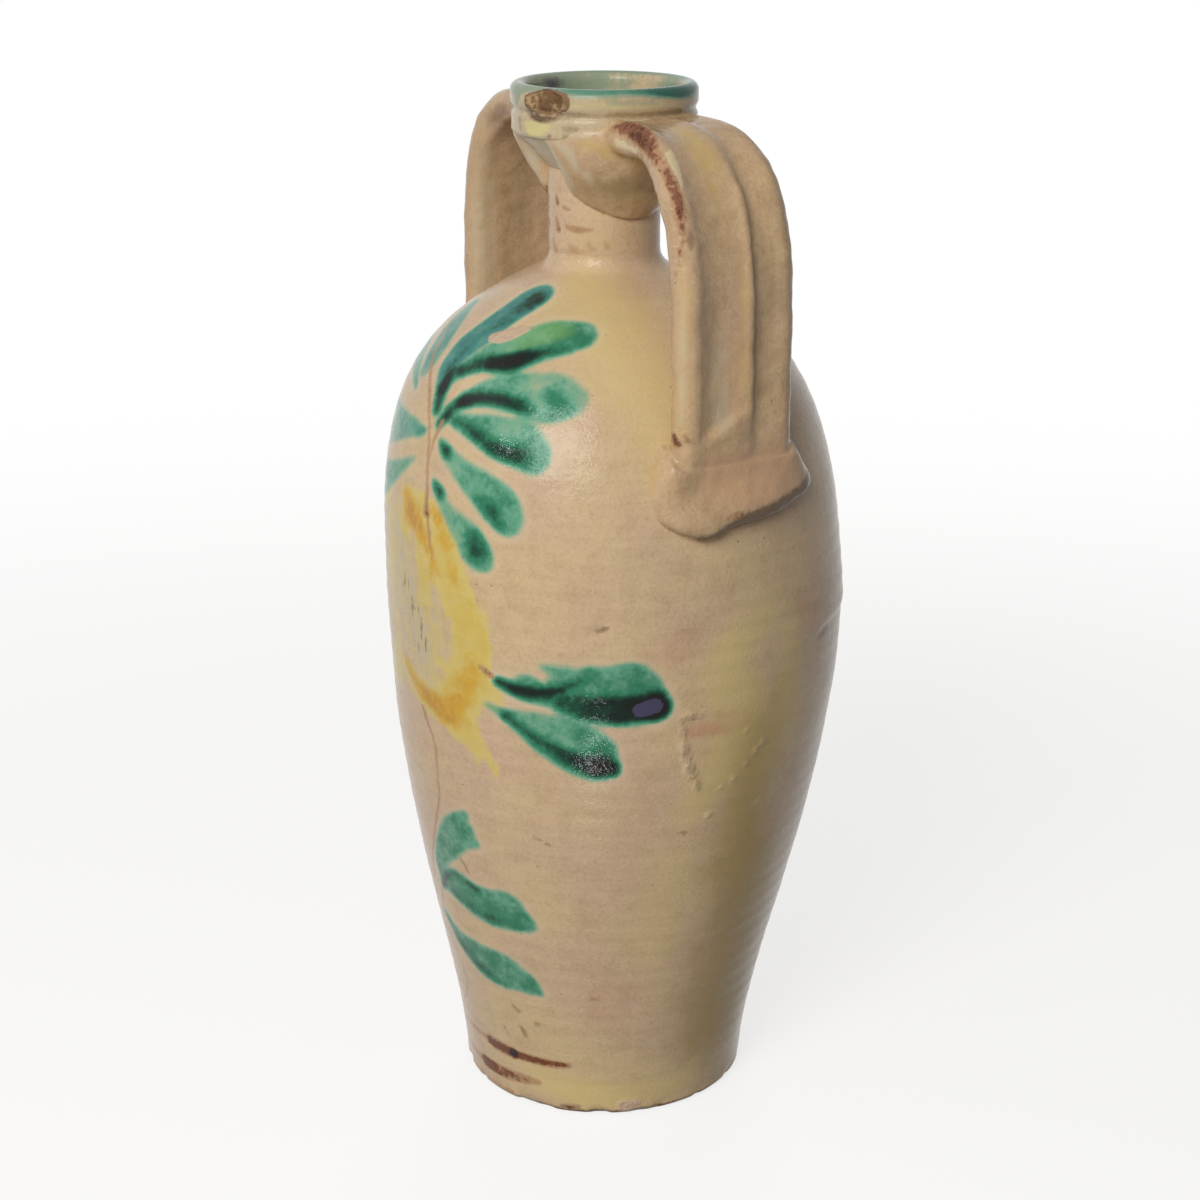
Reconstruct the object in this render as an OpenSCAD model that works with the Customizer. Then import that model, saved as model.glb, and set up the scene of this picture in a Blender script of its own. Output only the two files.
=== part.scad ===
// Two-handled glazed clay water jug: a thrown body in four sections and two strap handles.
// Millimetres. The origin is the centre of the base, +Z is up, +X points at the right handle
// and the painted front faces -Y.

/* [Body] */
// Radius of the flat base
foot_r = 61; // [45:0.5:75]
// Chamfer round the edge of the base
foot_chamfer = 1.2; // [0.4:0.1:3]
// Outer radius at the widest line
belly_r = 95.5; // [80:0.5:120]
// Height of the widest line, where the two big thrown sections are luted together
belly_z = 222; // [160:1:280]
// Length over which the wall rises upright from the foot
foot_pull = 47; // [20:1:80]
// Length over which the wall bends upright below the widest line
belly_pull = 97; // [60:1:130]
// Length over which the wall stays upright above the widest line
shoulder_pull = 88; // [60:1:100]
// Length of the straight lie of the shoulder next to the neck
shoulder_lie = 54; // [30:1:60]
// Fall of the shoulder next to the neck, in degrees
shoulder_fall = 26; // [15:1:40]
// Height from the widest line to the foot of the neck
shoulder_h = 142; // [120:1:180]
// Thickness of the body wall
wall_t = 7.5; // [5:0.25:10]
// Thickness of the floor
floor_t = 10; // [6:0.5:16]
// Chamfer inside the vessel between floor and wall
floor_chamfer = 8; // [3:0.5:14]

/* [Neck] */
// Outer radius of the neck
neck_r = 22.5; // [20:0.25:28]
// Radius of the throat, the bore that a stopper enters
throat_r = 16; // [12:0.25:18]
// Height of the neck tube
neck_h = 33; // [24:0.5:50]
// Radius of the hollow turn between shoulder and neck
neck_fillet = 8; // [4:0.5:14]

/* [Mouth] */
// Height of the mouth ring above the neck tube
mouth_h = 33; // [26:0.5:45]
// Outer radius of the rolled lip
lip_r = 37.2; // [34:0.1:45]
// Thickness of the lip and of the cup wall below it
lip_t = 6.6; // [5:0.1:9]
// Outer radius of the collar under the lip
collar_r = 36.9; // [33:0.1:44]
// Height of the lip and collar band
collar_h = 20; // [17:0.5:26]
// Rounding of the collar's lower edge
collar_round = 2; // [1:0.25:4]
// Depth of the groove between lip and collar
groove_depth = 0.9; // [0.4:0.1:2]
// Half the height of that groove
groove_half = 2.4; // [1.5:0.1:3.5]
// Distance of the groove below the top of the lip
groove_drop = 10; // [8:0.25:13]

/* [Luting] */
// Depth of the V joints between the thrown sections
joint_v = 3; // [1.5:0.25:4]
// Thickness of the slip bed between luted pieces
slip_t = 0.3; // [0.2:0.05:0.6]

/* [Handles] */
// Distance of the strap's inner face inside the widest line of the body
handle_inset = 13.5; // [10:0.5:20]
// Width of the strap
strap_w = 53; // [40:0.5:64]
// Width of the strap where it leaves the collar
root_w = 42; // [32:0.5:60]
// Thickness of the strap at its edge beads
strap_t = 13.5; // [9:0.25:18]
// Depth of the two flutes down the strap
flute_depth = 2.4; // [0.5:0.1:4]
// Width of each edge bead
bead_w = 7; // [5:0.5:10]
// Offset of the ridge between the flutes from the middle of the strap
ridge_offset = 5; // [-8:0.5:8]
// Distance of the strap's upper face below the top of the lip
strap_drop = 10.3; // [8:0.25:13]
// Straight run of the strap out of the collar before it bends
strap_run = 11; // [6:0.5:16]
// Height of the strap's bend
bend_h = 63; // [45:1:75]
// Length over which the bend starts level
bend_level = 28; // [18:1:36]
// Length over which the bend ends upright
bend_upright = 38; // [25:1:45]
// Angle by which the left handle stands off the line through the right one
left_skew = 9; // [0:1:20]

/* [Handle lugs] */
// Angle to which each lug reaches round the neck, either side of its handle
lug_reach = 75; // [50:1:80]
// Distance from the collar's lower edge to the tip of the lug
lug_drop = 32; // [24:0.5:40]
// Thickness of the lug at its lower edge
lug_edge = 2; // [1:0.25:4]
// Hollow of the lug's face, where 1 is a straight cone
lug_hollow = 0.85; // [0.6:0.05:1]

/* [Handle feet] */
// Slope of the scarf joint between strap and foot, in degrees
scarf_slope = 45; // [30:1:55]
// Drop of the foot below the line where the strap meets the shoulder
foot_drop = 44; // [34:1:54]
// Width of the splayed foot
foot_w = 75; // [66:1:90]
// Sideways lie of the foot against the strap
foot_shift = 7; // [-9:0.5:9]
// Rise of the foot's lower edge from its low side to its high side
foot_slant = 9; // [2:0.5:16]
// Rounding lift at the lower corners of the foot
foot_corner = 6; // [2:0.5:10]
// Thickness of the foot at its middle
foot_t = 7; // [4:0.25:10]
// Thickness of the foot at its pressed edge
foot_edge = 3; // [1.5:0.25:5]

/* [Hidden] */
$fn = 96;

glaze_colour = "#b49c7e";
glaze_pale = "#bfa98c";
lip_colour = "#9a9474";

curve_steps = 20;
fillet_steps = 6;
round_steps = 4;
groove_steps = 3;
lip_steps = 12;
strap_halves = 9;
bend_steps = 12;
foot_halves = 9;
foot_steps = 9;
lug_halves = 14;
lug_rows = 6;

// Shares of the bend by which the strap widens ahead of it, and over which it widens in all
root_lead = 0.2;
root_run = 0.8;
// Share of the strap's thickness that is left at its rounded edges
edge_share = 0.125;
// How squarely lugs and feet turn up at their lower corners, and where a foot's low side ends
lug_square = 6;
foot_square = 6;
foot_low_side = -0.5;
// Shares of the foot's drop over which it spreads and over which it leaves the strap's form
foot_spread = 0.6;
foot_blend = 0.7;
// How squarely a foot thins toward its edges
foot_swell = 4;

neck_z = belly_z + shoulder_h;
mouth_z = neck_z + neck_h;
total_h = mouth_z + mouth_h;
collar_z = total_h - collar_h;
neck_wall = neck_r - throat_r;
strap_in = belly_r - handle_inset;
strap_mid = strap_in + strap_t / 2;
strap_z = total_h - strap_drop - strap_t / 2;

function bez(p, t) = pow(1 - t, 3) * p[0] + 3 * pow(1 - t, 2) * t * p[1]
    + 3 * (1 - t) * t * t * p[2] + pow(t, 3) * p[3];
function bez_way(p, t) = 3 * pow(1 - t, 2) * (p[1] - p[0])
    + 6 * (1 - t) * t * (p[2] - p[1]) + 3 * t * t * (p[3] - p[2]);
function unit(v) = v / norm(v);
function left_of(v) = [-v[1], v[0]];
function turned(a, r, z) = [r * cos(a), r * sin(a), z];
function smooth(t) = let (c = max(0, min(1, t))) c * c * (3 - 2 * c);
function flip(list) = [for (i = [len(list) - 1:-1:0]) list[i]];

// Outer curves of the two big sections, from the base to the foot of the neck
low_pull = [[foot_r, 0], [foot_r, foot_pull], [belly_r, belly_z - belly_pull], [belly_r, belly_z]];
turn_mid = [neck_r + neck_fillet, neck_z];
turn_start = turn_mid - neck_fillet * [sin(shoulder_fall), cos(shoulder_fall)];
high_pull = [[belly_r, belly_z], [belly_r, belly_z + shoulder_pull],
             turn_start + shoulder_lie * [cos(shoulder_fall), -sin(shoulder_fall)], turn_start];
turn_angles = [for (i = [1:fillet_steps]) 270 - shoulder_fall - (90 - shoulder_fall) * i / fillet_steps];
low_outer = [for (i = [0:curve_steps]) bez(low_pull, i / curve_steps)];
high_outer = concat([for (i = [0:curve_steps]) bez(high_pull, i / curve_steps)],
                    [for (a = turn_angles) turn_mid + neck_fillet * [cos(a), sin(a)]]);

// Inner curves, one wall inside the outer ones
low_inner = [for (i = [0:curve_steps])
    let (t = i / curve_steps) bez(low_pull, t) + wall_t * left_of(unit(bez_way(low_pull, t)))];
high_inner = concat(
    [for (i = [0:curve_steps])
        let (t = i / curve_steps)
        bez(high_pull, t) + (wall_t + (neck_wall - wall_t) * t) * left_of(unit(bez_way(high_pull, t)))],
    [for (a = turn_angles) turn_mid + (neck_fillet + neck_wall) * [cos(a), sin(a)]]);

// Radius of the outside at a height, and height of the shoulder at a radius
height_to_r = concat([for (p = low_outer) [p[1], p[0]]], [for (p = high_outer) [p[1], p[0]]]);
function body_r(z) = lookup(z, height_to_r);
function shoulder_z(r) = lookup(r, high_outer);

// The V of a joint across a wall, from outside to inside
function joint_line(r_out, r_in, z) = [[r_out, z], [(r_out + r_in) / 2, z - joint_v], [r_in, z]];

// A closed skin over rings of points: each ring is an outer row and an inner row read backwards
module skin(rings) {
    ring_n = len(rings[0]);
    half_n = ring_n / 2;
    ring_c = len(rings);
    points = [for (ring = rings) each ring];
    sides = [for (j = [0:ring_c - 2], i = [0:ring_n - 1], k = [0:1])
        let (a = j * ring_n + i, b = j * ring_n + (i + 1) % ring_n, c = a + ring_n, d = b + ring_n)
        k == 0 ? [a, b, d] : [a, d, c]];
    caps = [for (i = [0:half_n - 2], k = [0:3])
        let (a = i, b = i + 1, c = ring_n - 1 - i, d = ring_n - 2 - i, e = (ring_c - 1) * ring_n)
        k == 0 ? [a, d, b] : k == 1 ? [a, c, d] : k == 2 ? [e + a, e + b, e + d] : [e + a, e + d, e + c]];
    polyhedron(points = points, faces = concat(sides, caps), convexity = 6);
}

module belly() {
    kept = [for (p = low_inner) if (p[1] > floor_t + floor_chamfer) p];
    inner_r = lookup(floor_t + floor_chamfer, [for (p = low_inner) [p[1], p[0]]]);
    color(glaze_colour)
    rotate_extrude() polygon(concat(
        [[0, 0], [foot_r - foot_chamfer, 0], [foot_r, foot_chamfer]],
        [for (i = [1:curve_steps - 1]) low_outer[i]],
        joint_line(belly_r, belly_r - wall_t, belly_z),
        [for (i = [len(kept) - 2:-1:0]) kept[i]],
        [[inner_r, floor_t + floor_chamfer], [inner_r - floor_chamfer, floor_t], [0, floor_t]]));
}

module shoulder() {
    top = len(high_outer) - 1;
    color(glaze_colour)
    rotate_extrude() polygon(concat(
        flip(joint_line(belly_r, belly_r - wall_t, belly_z + slip_t)),
        [for (i = [1:top - 1]) high_outer[i]],
        joint_line(neck_r, throat_r, neck_z),
        [for (i = [top - 1:-1:1]) high_inner[i]]));
}

module neck() {
    color(glaze_pale)
    rotate_extrude() polygon(concat(
        flip(joint_line(neck_r, throat_r, neck_z + slip_t)),
        joint_line(neck_r, throat_r, mouth_z)));
}

module mouth_ring() {
    under_a = [neck_r, mouth_z + slip_t];
    under_b = [collar_r - collar_round, collar_z];
    lean = unit(under_b - under_a);
    cup_a = under_a + lip_t * left_of(lean);
    cup_r = lip_r - lip_t;
    groove_z = total_h - groove_drop;
    lip_mid = [lip_r - lip_t / 2, total_h - lip_t / 2];
    function cup_z(r) = cup_a[1] + (r - cup_a[0]) * lean[1] / lean[0];
    color(lip_colour)
    rotate_extrude() polygon(concat(
        flip(joint_line(neck_r, throat_r, mouth_z + slip_t)),
        [for (i = [0:round_steps])
            let (a = 90 * i / round_steps) under_b + collar_round * [sin(a), 1 - cos(a)]],
        [for (i = [-groove_steps:groove_steps])
            let (g = i / groove_steps, edge_r = g < 0 ? collar_r : lip_r)
            [edge_r - groove_depth * (0.5 + 0.5 * cos(180 * g)), groove_z + groove_half * g]],
        [for (i = [0:lip_steps])
            let (a = 180 * i / lip_steps) lip_mid + lip_t / 2 * [cos(a), sin(a)]],
        [[cup_r, cup_z(cup_r)], [throat_r, cup_z(throat_r)]]));
}

// Section of the strap: half thickness, and fall of the fluted face, across its width
function strap_half(y) =
    let (in = max(0, (abs(y) - (strap_w - strap_t) / 2) / (strap_t / 2)))
    strap_t / 2 * max(edge_share, sqrt(max(0, 1 - in * in)));
function flute(y, a, b) = y <= a || y >= b ? 0 : flute_depth * (0.5 - 0.5 * cos(360 * (y - a) / (b - a)));
function flute_fall(y) = flute(y, bead_w - strap_w / 2, ridge_offset)
    + flute(y, ridge_offset, strap_w / 2 - bead_w);
strap_ys = [for (i = [-strap_halves:strap_halves]) strap_w / 2 * sin(90 * i / strap_halves)];
function strap_rise(y) = strap_half(y) - flute_fall(y);
// Height of the scarf joint at a distance from the axis
strap_foot_z = shoulder_z(strap_in - slip_t);
function scarf_z(x) = strap_foot_z - (x - strap_in) * tan(scarf_slope);

// The bend of the strap's middle line, in the plane of the handle
bend_x = collar_r + strap_run;
bend_pull = [[bend_x, strap_z], [bend_x + bend_level, strap_z],
             [strap_mid, strap_z - bend_h + bend_upright], [strap_mid, strap_z - bend_h]];
function across(p, n, y, h) = [p[0] + n[0] * h, y, p[1] + n[1] * h];
function collar_point(y, z) = [sqrt(max(0, pow(collar_r + slip_t, 2) - y * y)), y, z];
function scarf_point(x, y) = [x, y, scarf_z(x) + slip_t / cos(scarf_slope)];

// One ring of the strap: its outer row, then its inner row read backwards
function strap_ring(p, n, narrow) = concat(
    [for (y = strap_ys) across(p, n, y * narrow, strap_rise(y))],
    [for (y = flip(strap_ys)) across(p, n, y * narrow, -strap_half(y))]);

module strap() {
    root = root_w / strap_w;
    level_ring = strap_ring([collar_r, strap_z], [0, 1], root);
    collar_ring = [for (p = level_ring) collar_point(p[1], p[2])];
    bend_rings = [for (i = [0:bend_steps])
        let (t = i / bend_steps)
        strap_ring(bez(bend_pull, t), left_of(unit(bez_way(bend_pull, t))),
                   root + (1 - root) * smooth((t + root_lead) / root_run))];
    end_ring = strap_ring([strap_mid, 0], [1, 0], 1);
    scarf_ring = [for (p = end_ring) scarf_point(p[0], p[1])];
    skin(concat([collar_ring], bend_rings, [scarf_ring]));
}

// Lower edge of a lug at an angle from its handle, as a height
lug_tip = collar_z - lug_drop;
lug_crest = mouth_z - lug_edge / 2;
function lug_low(a) = lug_tip + (lug_crest - lug_tip) * pow(abs(a) / lug_reach, lug_square);

module lug() {
    inner_r = neck_r + slip_t;
    top_r = collar_r - slip_t;
    top_z = collar_z - 2 * slip_t;
    seat_a = [inner_r, lug_crest];
    seat_b = [collar_r - collar_round - slip_t, top_z];
    skin([for (i = [-lug_halves:lug_halves])
        let (a = lug_reach * i / lug_halves, low = lug_low(a), edge_r = inner_r + lug_edge)
        concat(
            [for (k = [0:lug_rows])
                let (s = k / lug_rows)
                turned(a, edge_r + (top_r - edge_r) * pow(s, lug_hollow), low + (top_z - low) * s)],
            [for (k = [lug_rows - 1:-1:0])
                let (p = seat_a + (seat_b - seat_a) * k / (lug_rows - 1))
                turned(a, p[0], p[1])],
            [turned(a, inner_r, low)])]);
}

// Lower edge of a foot across its width, as a height
function foot_low(u) = strap_foot_z - foot_drop
    + foot_slant * max(0, (u - foot_low_side) / (1 - foot_low_side)) + foot_corner * pow(abs(u), foot_square);

module foot() {
    us = [for (i = [-foot_halves:foot_halves]) i / foot_halves];
    skin([for (j = [0:foot_steps])
        let (v = j / foot_steps,
             half = strap_w / 2 + (foot_w - strap_w) / 2 * sin(90 * min(1, v / foot_spread)),
             shift = foot_shift * smooth(v))
        concat(
            [for (u = us)
                let (y0 = u * strap_w / 2, x0 = strap_mid + strap_rise(y0),
                     y = u * half + shift, z = scarf_z(x0) + (foot_low(u) - scarf_z(x0)) * v,
                     full = (1 - pow(abs(u), foot_swell)) * (1 - pow(v, foot_swell)),
                     t = foot_edge + (foot_t - foot_edge) * full,
                     x1 = sqrt(pow(body_r(z) + slip_t + t, 2) - y * y))
                [x0 + (x1 - x0) * smooth(v / foot_blend), y, z]],
            [for (u = flip(us))
                let (y0 = u * strap_w / 2, x0 = strap_mid - strap_half(y0),
                     y = u * half + shift, z = scarf_z(x0) + (foot_low(u) - scarf_z(x0)) * v)
                [j == 0 ? x0 : sqrt(pow(body_r(z) + slip_t, 2) - y * y), y, z]])]);
}

module at_left() { rotate([0, 0, 180 - left_skew]) children(); }
module handle_strap_right() { color(glaze_colour) strap(); }
module handle_strap_left() { color(glaze_colour) at_left() strap(); }
module handle_lug_right() { color(glaze_pale) lug(); }
module handle_lug_left() { color(glaze_pale) at_left() lug(); }
module handle_foot_right() { color(glaze_colour) foot(); }
module handle_foot_left() { color(glaze_colour) at_left() foot(); }

belly();
shoulder();
neck();
mouth_ring();
handle_strap_right();
handle_strap_left();
handle_lug_right();
handle_lug_left();
handle_foot_right();
handle_foot_left();
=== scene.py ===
# Two-handled glazed clay water jug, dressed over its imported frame
import math

import bmesh
import bpy
import numpy as np
from mathutils import Matrix, Vector, noise


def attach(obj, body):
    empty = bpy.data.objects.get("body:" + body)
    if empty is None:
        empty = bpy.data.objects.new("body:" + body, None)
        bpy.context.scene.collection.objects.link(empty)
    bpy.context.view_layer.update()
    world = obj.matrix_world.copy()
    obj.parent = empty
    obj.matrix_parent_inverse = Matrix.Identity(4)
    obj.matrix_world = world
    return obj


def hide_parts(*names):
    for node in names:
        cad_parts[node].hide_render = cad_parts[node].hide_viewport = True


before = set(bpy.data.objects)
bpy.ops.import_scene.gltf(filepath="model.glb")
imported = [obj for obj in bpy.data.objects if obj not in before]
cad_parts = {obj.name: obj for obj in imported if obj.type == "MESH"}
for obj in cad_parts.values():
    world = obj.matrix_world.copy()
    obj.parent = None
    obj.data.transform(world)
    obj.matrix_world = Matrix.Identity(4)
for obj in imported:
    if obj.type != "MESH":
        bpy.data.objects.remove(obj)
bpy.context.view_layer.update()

MM = 0.001

# Sizes of the thrown body, in millimetres
FOOT_R = 61.0
FOOT_ROUND = 2.4
BELLY_R = 95.5
BELLY_Z = 222.0
FOOT_PULL = 47.0
BELLY_PULL = 97.0
SHOULDER_PULL = 88.0
SHOULDER_LIE = 54.0
SHOULDER_FALL = math.radians(26.0)
NECK_Z = 364.0
NECK_R = 22.5
NECK_FILLET = 8.0
THROAT_R = 16.0
MOUTH_Z = 397.0
WALL_T = 7.5
FLOOR_T = 10.0
TOTAL_H = 430.0
COLLAR_Z = 410.0
COLLAR_R = 36.9
COLLAR_ROUND = 2.0
LIP_R = 37.2
LIP_T = 6.6
CUP_R = LIP_R - LIP_T
CUP_WALL_Z = 414.0
CUP_FLOOR_Z = 400.0
GROOVE_Z = 420.0
GROOVE_HALF = 2.6
GROOVE_DEPTH = 1.0
BASE_RINGS = (0.0, 20.0, 40.0, 54.0)
FLOOR_CORNER = 9.0
FLOOR_RING = 20.0

# Sizes of a handle, in millimetres, in its own plane
STRAP_W = 53.0
STRAP_ROOT_W = 42.0
STRAP_T = 13.5
STRAP_MID = 88.75
STRAP_Z = 412.95
BEND_X = 47.9
BEND_LEVEL = 28.0
BEND_UPRIGHT = 38.0
BEND_H = 63.0
BEAD_W = 7.0
RIDGE_Y = 5.0
FLUTE_DEPTH = 2.4
SCARF_Z = 308.6
PAD_T = 7.5
LUG_REACH = math.radians(77.0)
LUG_TIP_Z = 378.0
LEFT_TURN = math.radians(171.0)

# Steps of rings and curves, gaps between rows, and what counts as one place, in millimetres
TURN_STEPS = 400
ROW = 1.4
FINE_ROW = 0.8
CUP_ROW = 1.6
INNER_ROW = 7.0
CURVE_STEPS = 200
SAME_POINT = 0.01
SAME_PLANE = 0.0001

# The photograph's viewing side, how far the belly leans to the right seen from there, and where
VIEW_TURN = math.radians(57.0)
VIEW_RIGHT = np.array([math.cos(VIEW_TURN), math.sin(VIEW_TURN), 0.0])
BOW = 4.2
BOW_Z = 200.0
BOW_TOP = 345.0


def smooth(t):
    """Ease from nought to one."""
    t = np.clip(t, 0.0, 1.0)
    return t * t * (3.0 - 2.0 * t)


def bezier(pull, count):
    """Points along a curve that four points pull."""
    t = np.linspace(0.0, 1.0, count)[:, None]
    a, b, c, d = [np.array(point) for point in pull]
    return a * (1 - t) ** 3 + 3 * b * t * (1 - t) ** 2 + 3 * c * t * t * (1 - t) + d * t ** 3


def evenly(points, step):
    """Points along a polyline, about one step apart."""
    points = np.array(points, dtype=float)
    runs = np.hypot(*np.diff(points, axis=0).T)
    length = np.concatenate([[0.0], np.cumsum(runs)])
    at = np.linspace(0.0, length[-1], max(2, int(round(length[-1] / step)) + 1))
    return np.stack([np.interp(at, length, points[:, k]) for k in (0, 1)], axis=1)


def beside(points, gap):
    """A polyline moved sideways by a gap, to its left."""
    way = np.gradient(points, axis=0)
    way /= np.hypot(way[:, 0], way[:, 1])[:, None]
    return points + gap * np.stack([-way[:, 1], way[:, 0]], axis=1)


def arc(middle, radius, start, end, count):
    """Points along part of a circle, from one angle in degrees to another."""
    a = np.radians(np.linspace(start, end, count))
    return np.stack([middle[0] + radius * np.cos(a), middle[1] + radius * np.sin(a)], axis=1)


# Outer curves of the body as radius and height
low_curve = bezier([(FOOT_R, 0.0), (FOOT_R, FOOT_PULL), (BELLY_R, BELLY_Z - BELLY_PULL),
                    (BELLY_R, BELLY_Z)], CURVE_STEPS)
turn_mid = np.array([NECK_R + NECK_FILLET, NECK_Z])
turn_start = turn_mid - NECK_FILLET * np.array([math.sin(SHOULDER_FALL), math.cos(SHOULDER_FALL)])
lie_end = turn_start + SHOULDER_LIE * np.array([math.cos(SHOULDER_FALL), -math.sin(SHOULDER_FALL)])
high_curve = bezier([(BELLY_R, BELLY_Z), (BELLY_R, BELLY_Z + SHOULDER_PULL), lie_end, turn_start],
                    CURVE_STEPS)
turn_from = 270.0 - math.degrees(SHOULDER_FALL)
turn_curve = arc(turn_mid, NECK_FILLET, turn_from, 180.0, 24)
outer_curve = np.concatenate([low_curve, high_curve[1:], turn_curve[1:]])


def body_r(z):
    """Outer radius of the body at a height."""
    return np.interp(z, outer_curve[:, 1], outer_curve[:, 0])


def turned_section(outline):
    """A closed outline of radius and height, spun round the jug's axis."""
    clay = bmesh.new()
    ring = [clay.verts.new((r * MM, 0.0, z * MM)) for r, z in outline]
    edges = [clay.edges.new(pair) for pair in zip(ring, ring[1:])]
    if outline[0][0] > 0.0:
        edges.append(clay.edges.new((ring[-1], ring[0])))
    bmesh.ops.spin(clay, geom=ring + edges, axis=(0, 0, 1), cent=(0, 0, 0), angle=math.tau,
                   steps=TURN_STEPS, use_merge=True)
    bmesh.ops.remove_doubles(clay, verts=clay.verts, dist=SAME_POINT * MM)
    bmesh.ops.recalc_face_normals(clay, faces=clay.faces)
    return clay


def belly_outline():
    base = [(r, 0.0) for r in BASE_RINGS]
    edge = arc((FOOT_R - FOOT_ROUND, FOOT_ROUND), FOOT_ROUND, 270.0, 355.0, 7)
    rise = evenly(low_curve[low_curve[:, 1] > FOOT_ROUND], ROW)
    inner = evenly(beside(low_curve, WALL_T), INNER_ROW)[::-1]
    inner = inner[inner[:, 1] > FLOOR_T + FLOOR_CORNER]
    inner[0] = (BELLY_R - WALL_T, BELLY_Z)
    floor = [(inner[-1][0] - FLOOR_CORNER, FLOOR_T), (FLOOR_RING, FLOOR_T), (0.0, FLOOR_T)]
    return [*base, *edge, *rise, *inner, *floor]


def shoulder_outline():
    outer = evenly(np.concatenate([high_curve, turn_curve[1:]]), ROW)
    inner_turn = arc(turn_mid, NECK_FILLET + NECK_R - THROAT_R, turn_from, 180.0, 12)
    inner = evenly(np.concatenate([beside(high_curve, WALL_T), inner_turn]), INNER_ROW)
    inner[0] = (BELLY_R - WALL_T, BELLY_Z)
    inner[-1] = (THROAT_R, NECK_Z)
    return [*outer, *inner[::-1]]


def neck_outline():
    outer = evenly([(NECK_R, NECK_Z), (NECK_R, MOUTH_Z)], FINE_ROW)
    inner = evenly([(THROAT_R, MOUTH_Z), (THROAT_R, NECK_Z)], INNER_ROW)
    return [*outer, *inner]


def mouth_outline():
    under = evenly([(NECK_R, MOUTH_Z), (COLLAR_R - COLLAR_ROUND, COLLAR_Z)], FINE_ROW)
    round_edge = arc((COLLAR_R - COLLAR_ROUND, COLLAR_Z + COLLAR_ROUND), COLLAR_ROUND, 270.0, 360.0, 6)[1:]
    g = np.linspace(-1.0, 1.0, 13)
    groove = np.stack([np.where(g < 0, COLLAR_R, LIP_R) - GROOVE_DEPTH * (0.5 + 0.5 * np.cos(math.pi * g)),
                       GROOVE_Z + GROOVE_HALF * g], axis=1)
    lip = arc((LIP_R - LIP_T / 2, TOTAL_H - LIP_T / 2), LIP_T / 2, 0.0, 180.0, 20)
    outer = evenly(np.concatenate([round_edge, groove, lip]), FINE_ROW)
    cup = evenly([(CUP_R, TOTAL_H - LIP_T / 2), (CUP_R, CUP_WALL_Z), (THROAT_R, CUP_FLOOR_Z),
                  (THROAT_R, MOUTH_Z)], CUP_ROW)[1:]
    return [*under, *outer, *cup]


def front_angle(points):
    """Angle of points from the painted front, growing to the right as seen from outside."""
    return np.degrees(np.arctan2(points[:, 0], -points[:, 1]))


def ripple(points, size, seed):
    """Smooth noise from -1 to 1 at each point, with features about one size across."""
    shift = Vector((seed * 17.3, seed * 5.1, seed * 11.7))
    return np.array([noise.noise(Vector(p) / size + shift) for p in points])


def lean(z):
    """Sideways lean of the belly at a height."""
    rise = np.where(z < BOW_Z, z / BOW_Z, (BOW_TOP - z) / (BOW_TOP - BOW_Z))
    return BOW * smooth(rise)


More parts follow.
